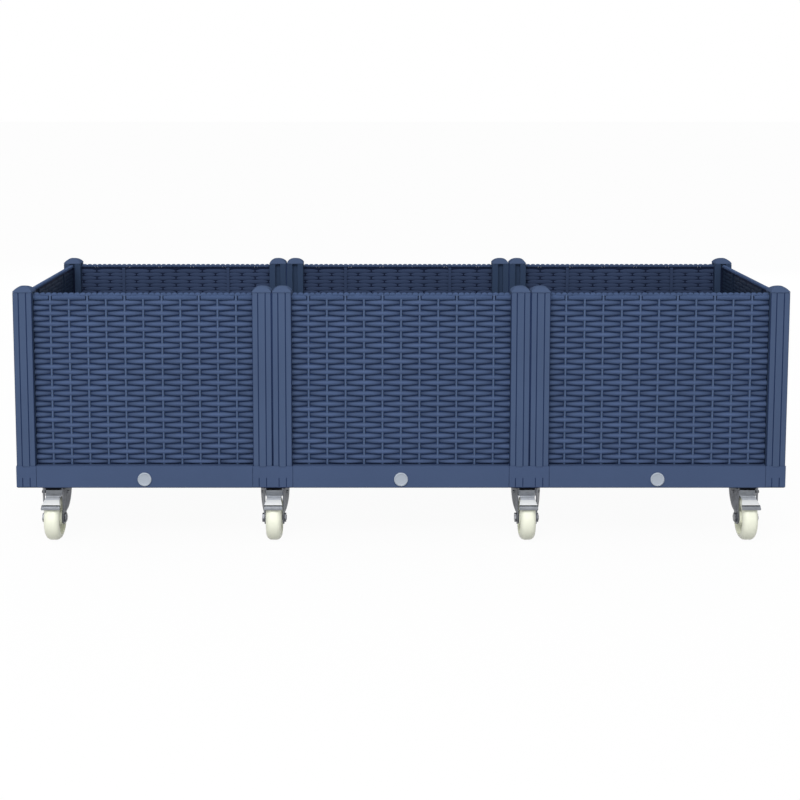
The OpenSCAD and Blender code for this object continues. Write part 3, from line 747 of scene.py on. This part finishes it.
def panel_shape():
    """One wall panel around its own middle: woven face towards +y, a finer weave towards -y."""
    s = Shape()
    half = OPENING / 2
    face = CORE_T / 2
    core_top = BORDER_Z + CORE_LAP
    # core sheet: its outer half shows between the strands, its inner half behind the fine weave;
    # both are darkened as painted shade
    s.paint = RECESS
    s.box((-half - TONGUE, -face / 2, SKIRT_TOP), (half + TONGUE, 0.0, core_top))
    s.paint = LINING_GAP
    s.box((-half - TONGUE, -face, SKIRT_TOP), (half + TONGUE, -face / 2, core_top))
    # side tongues in the posts' slots and the foot in the tray's groove
    for side in (-1, 1):
        low, high = sorted((side * (half + TONGUE_GAP), side * (half + TONGUE)))
        s.box((low, -TONGUE_HALF, SKIRT_TOP), (high, TONGUE_HALF, PANEL_TOP - 6))
    s.box((-FOOT_HALF, -TONGUE_HALF, SKIRT_TOP - FOOT_DEPTH),
          (FOOT_HALF, TONGUE_HALF, SKIRT_TOP - TONGUE_GAP))
    # stakes are painted paler than the strands, as painted light
    s.paint = STAKE
    for k in range(1 - SIDE_STAKES, SIDE_STAKES):
        top = BORDER_Z + (2 if (k + ROW_COUNT) % 2 else 8.5)
        stake(s, k * STAKE_PITCH, SKIRT_TOP, top, 0.0, 1)
    # woven rows: each passes in front of every second stake
    s.paint = WOVEN
    reach = STAKE_PITCH - STRAND_GAP
    end = (STRAND_END, STRAND_END_RISE)
    for i in range(ROW_COUNT):
        z = SKIRT_TOP - ROW_DROP + (i + 0.5) * ROW_PITCH
        height = STRAND_MID
        if i == 0:
            z += FIRST_ROW_LIFT
            height -= FIRST_ROW_CUT
        for k in range(-SIDE_STAKES, SIDE_STAKES + 1):
            if (k + i) % 2:
                strand(s, k * STAKE_PITCH, reach, z, (height, STRAND_RISE), end, 0.0, 1, half)
    # border: wide flat strands under a scalloped edge
    s.paint = RIM
    reach = STAKE_PITCH - RIM_GAP
    for k in range(-SIDE_STAKES, SIDE_STAKES + 1):
        if (k + ROW_COUNT) % 2:
            z = BORDER_Z + RIM_LIFT
            strand(s, k * STAKE_PITCH, reach, z, RIM_MID, RIM_END, 0.0, 1, half, 8)
    edge_loops(s, half)
    # inner face: a finer weave in low relief and two upright ribs
    s.paint = LINING
    reach = INNER_STAKE - INNER_GAP
    mid = (INNER_ROW + 0.2, INNER_RISE)
    for i in range(int((BORDER_Z - SKIRT_TOP) / INNER_ROW)):
        z = BORDER_Z + INNER_LAP - (i + 0.5) * INNER_ROW
        for k in range(-INNER_SIDE, INNER_SIDE + 1):
            if (k + i) % 2:
                strand(s, k * INNER_STAKE, reach, z, mid, INNER_END, -face, -1, half,
                       12, 4, INNER_PINCH)
    for x in (-BRACE_PLACE, BRACE_PLACE):
        s.box((x - BRACE_W / 2, -face - BRACE_RISE, SKIRT_TOP + 1),
              (x + BRACE_W / 2, -face + 0.4, BORDER_Z + 5))
    return s


def placed(x, y, turn):
    return Matrix.Translation((x, y, 0)) @ Matrix.Rotation(math.radians(turn), 4, "Z")


PANEL = panel_shape()
SPOTS = [("front_panel_" + n, placed(x, PANEL_LINE - HALF_DEPTH, 180)) for n, x in MODULES]
SPOTS += [("rear_panel_" + n, placed(x, HALF_DEPTH - PANEL_LINE, 0)) for n, x in MODULES]
SPOTS += [
    ("end_panel_left", placed(PANEL_LINE - HALF_LENGTH, 0, 90)),
    ("end_panel_right", placed(HALF_LENGTH - PANEL_LINE, 0, -90)),
]
for node, matrix in SPOTS:
    looks = list(PANEL_LOOKS)
    # the end panels' insides take a darker painted shade
    if node.startswith("end"):
        looks[LINING] = "end_inner"
    woven = add_piece(
        node + "_weave", Shape().joined(PANEL, matrix), "planter_box", looks)
    # each point's rise over the core sets the painted shade of the weave
    rise = woven.data.attributes.new("rise", "FLOAT", "POINT")
    rise.data.foreach_set("value", [p[1] for p in PANEL.v])
    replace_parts(woven, node)


# Posts, caps, trays, sockets and plugs
def nearest_middle(x):
    """Where the middle of the module round x lies."""
    return MODULE * max(-1, min(1, round(x / MODULE)))


def post_paint(face):
    """A post's outside, the faces that look into its own module, or its narrow grooves; the last
    two are darker as painted shade.
    """
    c, n = face.calc_center_median() / MM, face.normal
    depth = min(HALF_DEPTH - PROUD - abs(c.y), HALF_LENGTH - PROUD - abs(c.x))
    if 0.2 < depth < 1.5:
        return POST_GROOVE
    inwards = n.y * math.copysign(1, c.y) < -0.5
    sideways = n.x * math.copysign(1, nearest_middle(c.x) - c.x) > 0.5
    return POST_LINING if inwards or sideways else POST_FACE


for n in ("front_left_post", "front_right_post", "rear_left_post", "rear_right_post",
          "front_joint_posts", "rear_joint_posts"):
    softened(n, "planter_box", POST_LOOKS, POST_ROUND, paint=post_paint)

# Each pair of joint posts is closed by a web, set back from their faces,
# and each seam of the skirt by a strip behind it; both are painted dark as the gaps' shade
webs = Shape()
for x in (-HALF_LENGTH + MODULE, HALF_LENGTH - MODULE):
    for y in (-1, 1):
        near, far = sorted((
            y * (HALF_DEPTH - PROUD - WEB_BACK), y * (HALF_DEPTH - PROUD - POST_W + WEB_BACK)))
        webs.box((x - PROUD - WEB_LAP, near, SKIRT_TOP - WEB_DROP),
                 (x + PROUD + WEB_LAP, far, POST_TOP))
seam_at = MODULE / 2 - SOCKET_W - SEAM
strip_low, strip_high = BASE_Z + STRIP_INSET, SKIRT_TOP - STRIP_INSET
for side_x in (-1, 1):
    for side_y in (-1, 1):
        near, far = sorted((
            side_y * (HALF_DEPTH - STRIP_BACK), side_y * (HALF_DEPTH - STRIP_END)))
        for _, x in MODULES:
            at = x + side_x * seam_at
            webs.box((at - STRIP_HALF, near, strip_low), (at + STRIP_HALF, far, strip_high))
        near, far = sorted((
            side_x * (HALF_LENGTH - STRIP_BACK), side_x * (HALF_LENGTH - STRIP_END)))
        at = side_y * seam_at
        webs.box((near, at - STRIP_HALF, strip_low), (far, at + STRIP_HALF, strip_high))
add_piece("joint_post_webs", webs, "planter_box", ["groove"])


def cap_arch(u):
    return CAP_H - CAP_ARCH_R + math.sqrt(CAP_ARCH_R ** 2 - u * u)


def cap_shape(side_x, side_y):
    """A domed square cap over its post's middle, and the plug under it."""
    s = Shape()
    h = CAP_HALF
    corners = rounded([(-h, -h), (h, -h), (h, h), (-h, h)], CAP_CORNER, 5)
    outline = []
    for a, b in zip(corners, corners[1:] + corners[:1]):
        parts = max(1, round((Vector(b) - Vector(a)).length / CAP_STEP))
        for k in range(parts):
            outline.append((mix(a[0], b[0], k / parts), mix(a[1], b[1], k / parts)))

    def ring(share, z=None, sink=0.0):
        """The outline drawn in by a share, at the height z or sunk under the dome."""
        row = []
        for x, y in outline:
            x, y = x * share, y * share
            dome = softer_min(cap_arch(x), cap_arch(y), CAP_BLEND) - sink
            row.append((x, y, dome if z is None else z))
        return row

    rows = [ring(CAP_NECK, 0.0), ring(CAP_NECK, CAP_NECK_H), ring(1.0, CAP_EDGE_Z)]
    rows += [ring(1.0, None, 0.7), ring(0.995, None, 0.25)]
    rows += [ring(q) for q in CAP_SHARES]
    s.grid(rows)
    x, y, r = side_x * CAP_PLUG_SHIFT, side_y * CAP_PLUG_SHIFT, CAP_PLUG_HALF
    s.box((x - r, y - r, -CAP_PLUG_H), (x + r, y + r, CAP_PLUG_LAP))
    return s


for row, side_y in (("front", -1), ("rear", 1)):
    caps = Shape()
    for _, x in MODULES:
        for side_x in (-1, 1):
            spot = (x + side_x * POST_MIDDLE, side_y * POST_MIDDLE, POST_TOP)
            caps.joined(cap_shape(side_x, side_y), Matrix.Translation(spot))
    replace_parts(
        add_piece(row + "_post_caps_smooth", caps, "planter_box", ["cap"]),
        row + "_post_caps")


def open_seam(co):
    """Draws the ends of a tray's skirt back from the sockets, so that the seams show."""
    x, y = co.x / MM, co.y / MM
    middle = nearest_middle(x)
    from_end = abs(abs(x - middle) - MODULE / 2 + SOCKET_W + SEAM)
    from_side = abs(abs(y) - HALF_DEPTH + SOCKET_W + SEAM)
    if from_end < SEAM_NEAR and abs(y) > HALF_DEPTH - SEAM_REACH:
        co.x -= math.copysign(SEAM_OPEN * MM, x - middle)
    if from_side < SEAM_NEAR and abs(x) > HALF_LENGTH - SEAM_REACH:
        co.y -= math.copysign(SEAM_OPEN * MM, y)
    return co


def socket_paint(face):
    """A socket's upper edge and the insides of the short marks at its foot take the grooves'
    painted shade.
    """
    c, n = face.calc_center_median() / MM, face.normal
    in_mark = 0.2 < min(HALF_DEPTH - abs(c.y), HALF_LENGTH - abs(c.x)) < 1.2
    at_top = n.z > 0.9 and c.z > SKIRT_TOP - 0.5
    return SOCKET_GROOVE if in_mark or at_top else SOCKET_FACE


for n, _ in MODULES:
    softened("base_tray_" + n, "planter_box", ["base"], TRAY_ROUND, 3,
             shift=open_seam)
for n in ("corner_sockets", "joint_sockets"):
    softened(n, "planter_box", SOCKET_LOOKS, SOCKET_ROUND, 3,
             paint=socket_paint)

# From the recess over the rim to the head's edge, then back along the neck
PLUG_SECTION = (
    (PLUG_CORE_R, PLUG_T - PLUG_RECESS),
    (PLUG_R - PLUG_RIM - 0.4, PLUG_T - PLUG_RECESS),
    (PLUG_R - PLUG_RIM, PLUG_T - PLUG_RECESS + 0.1),
    (PLUG_R - PLUG_RIM + 0.3, PLUG_T - 0.1),
    (PLUG_R - PLUG_RIM + 0.7, PLUG_T),
    (PLUG_R - 1.0, PLUG_T),
    (PLUG_R - 0.4, PLUG_T - 0.2),
    (PLUG_R - 0.1, PLUG_T - 0.6),
    (PLUG_R, PLUG_T - 1.1),
    (PLUG_R, 0.0),
    (PLUG_NECK_R, 0.0),
    (PLUG_NECK_R, -PLUG_NECK_L),
    (PLUG_CORE_R, -PLUG_NECK_L),
)
for n, x in MODULES:
    plug = Shape()
    plug.turned(PLUG_SECTION, lambda r, a, h: (
        x + r * math.cos(a), -HALF_DEPTH - PLUG_GAP - h, PLUG_Z + r * math.sin(a)))
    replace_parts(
        add_piece("drain_plug_" + n + "_smooth", plug, "plug_" + n, ["plug"], 40.0),
        "drain_plug_" + n)


# Casters
def wheel_shape():
    """A barrel tread with wide rounded shoulders, a web and a hub."""
    inner = WHEEL_R - RIM_T
    core = WHEEL_R - SHOULDER_R
    tread = []
    start = math.asin((inner - core) / SHOULDER_R)
    for k in range(SHOULDER_STEPS + 1):
        a = mix(start, math.pi / 2, k / SHOULDER_STEPS)
        across = WHEEL_HALF - SHOULDER_R + SHOULDER_R * math.cos(a)
        tread.append((core + SHOULDER_R * math.sin(a), across))
    side = [
        (BORE_R, WHEEL_HALF), (HUB_R, WHEEL_HALF), (HUB_R, WEB_HALF), (inner, WEB_HALF),
        (inner, tread[0][1]),
    ]
    half = rounded(side, WHEEL_ROUNDS, 3) + tread[1:]
    section = half + [(r, -h) for r, h in reversed(half)]
    s = Shape()
    s.turned(section, lambda r, a, h: (
        h, -TRAIL + r * math.cos(a), AXLE_Z + r * math.sin(a)), WHEEL_STEPS, True)
    return s


def leg_edges(z):
    """Where a fork leg's side begins and ends at height z."""
    bend_front, bend_rear = AXLE_Z + 1, AXLE_Z - 5
    knee_rear = CROWN_Z - REAR_DROP
    round_end = math.sqrt(max(LEG_END_R ** 2 - (z - AXLE_Z) ** 2, 0.0))
    if z < bend_front:
        front = -TRAIL - round_end
    else:
        share = (z - bend_front) / (FORK_TOP - bend_front)
        front = mix(-TRAIL - LEG_END_R + 0.2, LEG_FRONT + 0.5, share)
    if z < bend_rear:
        rear = -TRAIL + round_end
    elif z < knee_rear:
        rear = mix(-TRAIL + LEG_END_R - 1.2, 0.0, (z - bend_rear) / (knee_rear - bend_rear))
    else:
        share = (z - CROWN_Z + REAR_DROP) / (FORK_TOP - CROWN_Z + REAR_DROP)
        rear = mix(0.0, LEG_REAR, share)
    return front, rear


def fork_line(grow, crown):
    """Half of the fork seen from the front, from a leg's foot over the shoulder to the middle."""
    leg = LEG_IN + grow
    line = [(leg, AXLE_Z - LEG_END_R * math.sin(math.radians(a))) for a in LEG_END_ANGLES]
    for u, v in spaced(eased(LEG_CURVE, 3), LEG_CURVE_STEP):
        line.append((leg + u * (HIP_IN - LEG_IN), KNEE_Z + v * (CROWN_Z - KNEE_Z)))
    for k in range(6):
        a = math.pi / 2 * k / 5
        wide = HIP_IN + grow - SHOULDER_ROUND * (1 - math.cos(a))
        line.append((wide, crown - SHOULDER_DROP * (1 - math.sin(a))))
    line += [((HIP_IN + grow - SHOULDER_ROUND) * q, crown) for q in (0.66, 0.33)]
    return line


def fork_shape():
    """One sheet bent over the wheel, closing in towards the front, with the ball race's dish."""
    s = Shape()
    outer_line, inner_line = fork_line(FORK_T, FORK_TOP), fork_line(0.0, CROWN_Z)
    surfaces = []
    for line, grow in ((outer_line, FORK_T), (inner_line, 0.0)):
        half = []
        for (x, z), (_, outer_z) in zip(line, outer_line):
            front, rear = leg_edges(outer_z)
            row = []
            for j in range(FORK_COLUMNS):
                y = mix(front, rear, j / (FORK_COLUMNS - 1))
                share = min(1.0, max(0.0, (y - LEG_FRONT) / (LEG_BACK - LEG_FRONT)))
                limit = LEG_IN + grow + share * (HIP_IN - LEG_IN)
                if outer_z < FORK_TOP - SHOULDER_DROP + 0.01:
                    wide = softer_min(x, limit, 1.0)
                else:
                    wide = x * limit / (HIP_IN + grow)
                row.append((wide, y, z))
            half.append(row)
        middle = [(0.0, y, z) for _, y, z in half[-1]]
        other = [[(-x, y, z) for x, y, z in row] for row in reversed(half)]
        surfaces.append(half + [middle] + other)
    rows = surfaces[1]
    # the rows under the crown and the ball race's dish take the painted shadow
    paints = []
    for pair in zip(rows, rows[1:]):
        under_crown = all(row[0][2] > CROWN_Z - 0.1 for row in pair)
        paints.append(FORK_DARK if under_crown else FORK_ZINC)
    s.plate(*surfaces, paints)
    s.paint = FORK_DARK
    rim = FORK_TOP - 0.5 + 0.6 * RACE_GAP
    dish = [
        (KINGPIN_HOLE_R, CROWN_Z), (DISH_R, CROWN_Z), (DISH_R, rim), (DISH_R - FORK_T, rim),
        (DISH_R - FORK_T, FORK_TOP), (KINGPIN_HOLE_R, FORK_TOP),
    ]
    s.turned(rounded(dish, DISH_ROUNDS, 3), lambda r, a, h: (
        r * math.cos(a), r * math.sin(a), h), 72, True)
    return s


def around_wheel(gap, angle):
    """The point (y, z) that lies gap over the tread, angle forward of the top of the wheel."""
    a = math.radians(angle)
    return (-TRAIL - (WHEEL_R + gap) * math.sin(a), AXLE_Z + (WHEEL_R + gap) * math.cos(a))


def pedal_corners():
    """The corners of the pedal's middle line, from its top to its lip."""
    spare = ROOM - SHEET_T - TREAD_CLEAR
    corners = []
    for i, (share, angle) in enumerate(PEDAL_LINE):
        below = LIP_R if i == len(PEDAL_LINE) - 1 else SHEET_T / 2
        corners.append(around_wheel(below + TREAD_CLEAR + share * spare, angle))
    return corners


def pedal_sheet(s, corners, bends):
    """The bent sheet: top step, waist, flared tread plate with turned-down edges."""
    waist_z, flare_z = corners[2][1] - WAIST_DROP, corners[4][1]

    def half_width(z):
        total = 0.0
        for d in WIDTH_SPREAD:
            t_up = min(1.0, max(0.0, (z + d - waist_z) / WAIST_RUN))
            t_down = min(1.0, max(0.0, (waist_z - z - d) / (waist_z - flare_z)))
            total += (PEDAL_WAIST_HALF + t_up * (PEDAL_TOP_HALF - PEDAL_WAIST_HALF)
                      + t_down * (PEDAL_LIP_HALF - PEDAL_WAIST_HALF))
        return total / len(WIDTH_SPREAD)

    line = spaced(eased(bends, 2), PEDAL_STEP)
    last = len(line) - 1
    crease = Vector(corners[2]).lerp(Vector(corners[3]), CREASE_PLACE)
    fold = Vector(bends[5])
    outer, inner = [], []
    for i, p in enumerate(line):
        p = Vector(p)
        along = (Vector(line[min(i + 1, last)]) - Vector(line[max(i - 1, 0)])).normalized()
        out = Vector((-along[1], along[0]))
        if out[1] < 0:
            out = -out
        near_crease = math.exp(-((p - crease).length / CREASE_W) ** 2)
        near_fold = math.exp(-((p - fold).length / FOLD_W) ** 2)
        p -= out * CREASE_DEPTH * (near_crease + FOLD_SHARE * near_fold)
        w = half_width(p[1])
        drop = FLANGE_DROP * max(FLANGE_LEAST, min(1.0, i / 6.0, (last - i) / 8.0))
        # (across, down from the sheet, and the way to the inner skin: inwards, down)
        section = [
            (w, drop, 1.0, 0.0), (w, drop * 0.55, 1.0, 0.0), (w - 0.3, drop * 0.2, 0.8, 0.6),
            (w - 1.0, 0.0, 0.25, 0.97), (w * 0.5, 0.0, 0.0, 1.0),
        ]
        mirrored = [(-x, d, -nx, nd) for x, d, nx, nd in reversed(section)]
        skin = p + out * PEDAL_T / 2
        row_out, row_in = [], []
        for x, d, nx, nd in section + [(0.0, 0.0, 0.0, 1.0)] + mirrored:
            a = skin - out * d
            b = skin - out * (d + PEDAL_T * nd)
            row_out.append((x, a[0], a[1]))
            row_in.append((x - PEDAL_T * nx, b[0], b[1]))
        outer.append(row_out)
        inner.append(row_in)
    # from which height up each tone is used: the photograph's bands
    # one steel in bands of painted light and shade: painted shadow at the top and along the fold, a
    # painted highlight on the tread plate, the step and lip in painted shade
    tones = (
        (corners[0][1] + 0.2, DARK), (fold[1] + PEDAL_SHINE, STEP), (fold[1] + 1.0, BRIGHT),
        (fold[1] - 0.2, DARK), (0.0, LIP),
    )
    s.plate(outer, inner, [next(tone for low, tone in tones if p[1] > low) for p in line])


def pedal_shape():
    """A pressed pedal: bent sheet, rolled lip, ears and pin."""
    s = Shape()
    corners = pedal_corners()
    top, lip = corners[0], corners[-1]
    bends = [
        (top[0], top[1] + PEDAL_RISE), *corners[:4], (lip[0] + 1.6, corners[4][1] - 0.2),
        (lip[0] + 2.2, lip[1] + 2.6), lip,
    ]
    pedal_sheet(s, corners, bends)
    # the rolled lip in painted shade
    s.paint = LIP
    end = PEDAL_LIP_HALF
    bar = [
        (LIP_R - 0.8, -end), (LIP_R - 0.25, -end + 0.25), (LIP_R, -end + 0.9),
        (LIP_R, end - 0.9), (LIP_R - 0.25, end - 0.25), (LIP_R - 0.8, end),
    ]
    s.turned(bar, lambda r, a, h: (h, lip[0] + r * math.cos(a), lip[1] + r * math.sin(a)), 20)
    s.paint = BOLT
    pivot = around_wheel(PIVOT_GAP, PIVOT_ANGLE)
    pin = [
        (PIN_R - PIN_EDGE, -PIN_HALF), (PIN_R, -PIN_HALF + PIN_EDGE),
        (PIN_R, PIN_HALF - PIN_EDGE), (PIN_R - PIN_EDGE, PIN_HALF),
    ]
    s.turned(pin, lambda r, a, h: (
        h, pivot[0] + r * math.cos(a), pivot[1] + r * math.sin(a)), 24)
    ear = []
    for k in range(32):
        a = math.pi * k / 16
        ear.append((pivot[0] + EAR_R * math.cos(a), pivot[1] + EAR_R * math.sin(a)))
    foot = corners[1]
    ear += [(foot[0] + 1.6, foot[1]), (foot[0] + 1.0, foot[1] - 2.0), (top[0] + 0.6, top[1] - 1.2)]
    ear = hull(ear)
    place = PEDAL_TOP_HALF - SHEET_T
    for low, high in ((-PEDAL_TOP_HALF, -place), (place, PEDAL_TOP_HALF)):
        s.prism(ear, lambda u, v, w: (w, u, v), low, high)
    return s


WHEEL, FORK, PEDAL = wheel_shape(), fork_shape(), pedal_shape()
for row, y, turn in (("front", -CASTER_Y, 0), ("rear", CASTER_Y, 180)):
    for place, x in CASTERS:
        key = row + "_" + place
        spot = placed(x, y, turn)
        wheel = add_piece(
            "wheel_" + key + "_smooth", Shape().joined(WHEEL, spot), "wheel_body_" + key,
            ["nylon"], 40.0)
        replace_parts(wheel, "wheel_" + key)
        fork = add_piece(
            "fork_" + key + "_smooth", Shape().joined(FORK, spot), "swivel_" + key,
            FORK_LOOKS, 40.0)
        round_edges(fork, FORK_ROUND, 2, 45.0)
        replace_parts(fork, "fork_" + key)
        pedal = add_piece(
            "pedal_" + key + "_smooth", Shape().joined(PEDAL, spot), "brake_" + key,
            PEDAL_LOOKS, 45.0)
        round_edges(pedal, PEDAL_ROUND, 2, 50.0)
        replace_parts(pedal, "pedal_" + key)
        softened("axle_" + key, "swivel_" + key, ["bolt"], AXLE_ROUND, 2, 35.0)
# the caster plates, kingpins and screws take the painted shadow; the balls are bright steel
for n in ("caster_plates", "kingpins", "swivel_balls", "plate_screws"):
    data = NODES[n].data
    data.materials.clear()
    data.materials.append(M["nut" if n == "swivel_balls" else "dark"])


# Floor, light and camera
def seen_rays(nt):
    """1 for rays of the camera, reflections and transmission, else 0."""
    path = nt.nodes.new("ShaderNodeLightPath")
    last = path.outputs["Is Camera Ray"]
    for name in ("Is Glossy Ray", "Is Transmission Ray"):
        top = nt.nodes.new("ShaderNodeMath")
        top.operation = "MAXIMUM"
        nt.links.new(last, top.inputs[0])
        nt.links.new(path.outputs[name], top.inputs[1])
        last = top.outputs[0]
    return last


def blended(nt, share, plain, seen, out):
    """Shows one shader to the share of rays that see it, and the plain one to the others."""
    blend = nt.nodes.new("ShaderNodeMixShader")
    nt.links.new(share, blend.inputs[0])
    nt.links.new(plain.outputs[0], blend.inputs[1])
    nt.links.new(seen.outputs[0], blend.inputs[2])
    nt.links.new(blend.outputs[0], out.inputs[0])


def make_floor():
    mesh = bpy.data.meshes.new("floor")
    bm = bmesh.new()
    bmesh.ops.create_grid(bm, x_segments=1, y_segments=1, size=FLOOR_HALF)
    bm.to_mesh(mesh)
    bm.free()
    floor = bpy.data.objects.new("floor", mesh)
    floor.location = (0, 0, FLOOR_Z)
    bpy.context.scene.collection.objects.link(floor)
    mat = bpy.data.materials.new("floor_look")
    mat.use_nodes = True
    nt = mat.node_tree
    nt.nodes.clear()
    out = nt.nodes.new("ShaderNodeOutputMaterial")
    diffuse = nt.nodes.new("ShaderNodeBsdfDiffuse")
    diffuse.inputs["Color"].default_value = (FLOOR_TONE, FLOOR_TONE, FLOOR_TONE, 1)
    glow = nt.nodes.new("ShaderNodeEmission")
    glow.inputs["Color"].default_value = WHITE
    glow.inputs["Strength"].default_value = FLOOR_GLOW
    share = nt.nodes.new("ShaderNodeMath")
    share.operation = "MULTIPLY"
    share.inputs[1].default_value = FLOOR_GLOW_SHARE
    nt.links.new(seen_rays(nt), share.inputs[0])
    blended(nt, share.outputs[0], diffuse, glow, out)
    mesh.materials.append(mat)


def make_world(low, high):
    """White where it is seen, and a light whose strength grows with height."""
    world = bpy.data.worlds.new("studio")
    bpy.context.scene.world = world
    world.use_nodes = True
    nt = world.node_tree
    nt.nodes.clear()
    out = nt.nodes.new("ShaderNodeOutputWorld")
    light = nt.nodes.new("ShaderNodeBackground")
    light.inputs["Color"].default_value = WHITE
    height = nt.nodes.new("ShaderNodeSeparateXYZ")
    coords = nt.nodes.new("ShaderNodeTexCoord")
    nt.links.new(coords.outputs["Generated"], height.inputs[0])
    level = nt.nodes.new("ShaderNodeMapRange")
    level.inputs["From Min"].default_value = -1.0
    level.inputs["To Min"].default_value = low
    level.inputs["To Max"].default_value = high
    nt.links.new(height.outputs["Z"], level.inputs["Value"])
    nt.links.new(level.outputs[0], light.inputs["Strength"])
    seen = nt.nodes.new("ShaderNodeBackground")
    seen.inputs["Color"].default_value = WHITE
    seen.inputs["Strength"].default_value = 1.0
    blended(nt, seen_rays(nt), light, seen, out)


def area(name, location, target, size, power):
    data = bpy.data.lights.new(name, "AREA")
    data.shape = "RECTANGLE"
    data.size, data.size_y = size
    data.energy = power
    obj = bpy.data.objects.new(name, data)
    obj.location = location
    direction = Vector(target) - Vector(location)
    obj.rotation_euler = direction.to_track_quat("-Z", "Y").to_euler()
    bpy.context.scene.collection.objects.link(obj)


def make_camera():
    data = bpy.data.cameras.new("camera")
    data.sensor_width = SENSOR_W
    data.lens = FOCAL_PX * SENSOR_W / IMAGE_PX
    data.shift_x = SHIFT_PX[0] / IMAGE_PX
    data.shift_y = SHIFT_PX[1] / IMAGE_PX
    data.clip_start = 0.05
    data.clip_end = 100.0
    cam = bpy.data.objects.new("camera", data)
    tilt = Matrix.Rotation(math.radians(90 - CAMERA_DOWN), 4, "X")
    cam.matrix_world = Matrix.Translation(CAMERA_AT) @ tilt
    bpy.context.scene.collection.objects.link(cam)
    bpy.context.scene.camera = cam


make_camera()
make_floor()
make_world(WORLD_LOW, WORLD_HIGH)
for lamp in LAMPS:
    area(*lamp)
view = bpy.context.scene.view_settings
view.view_transform = "Standard"
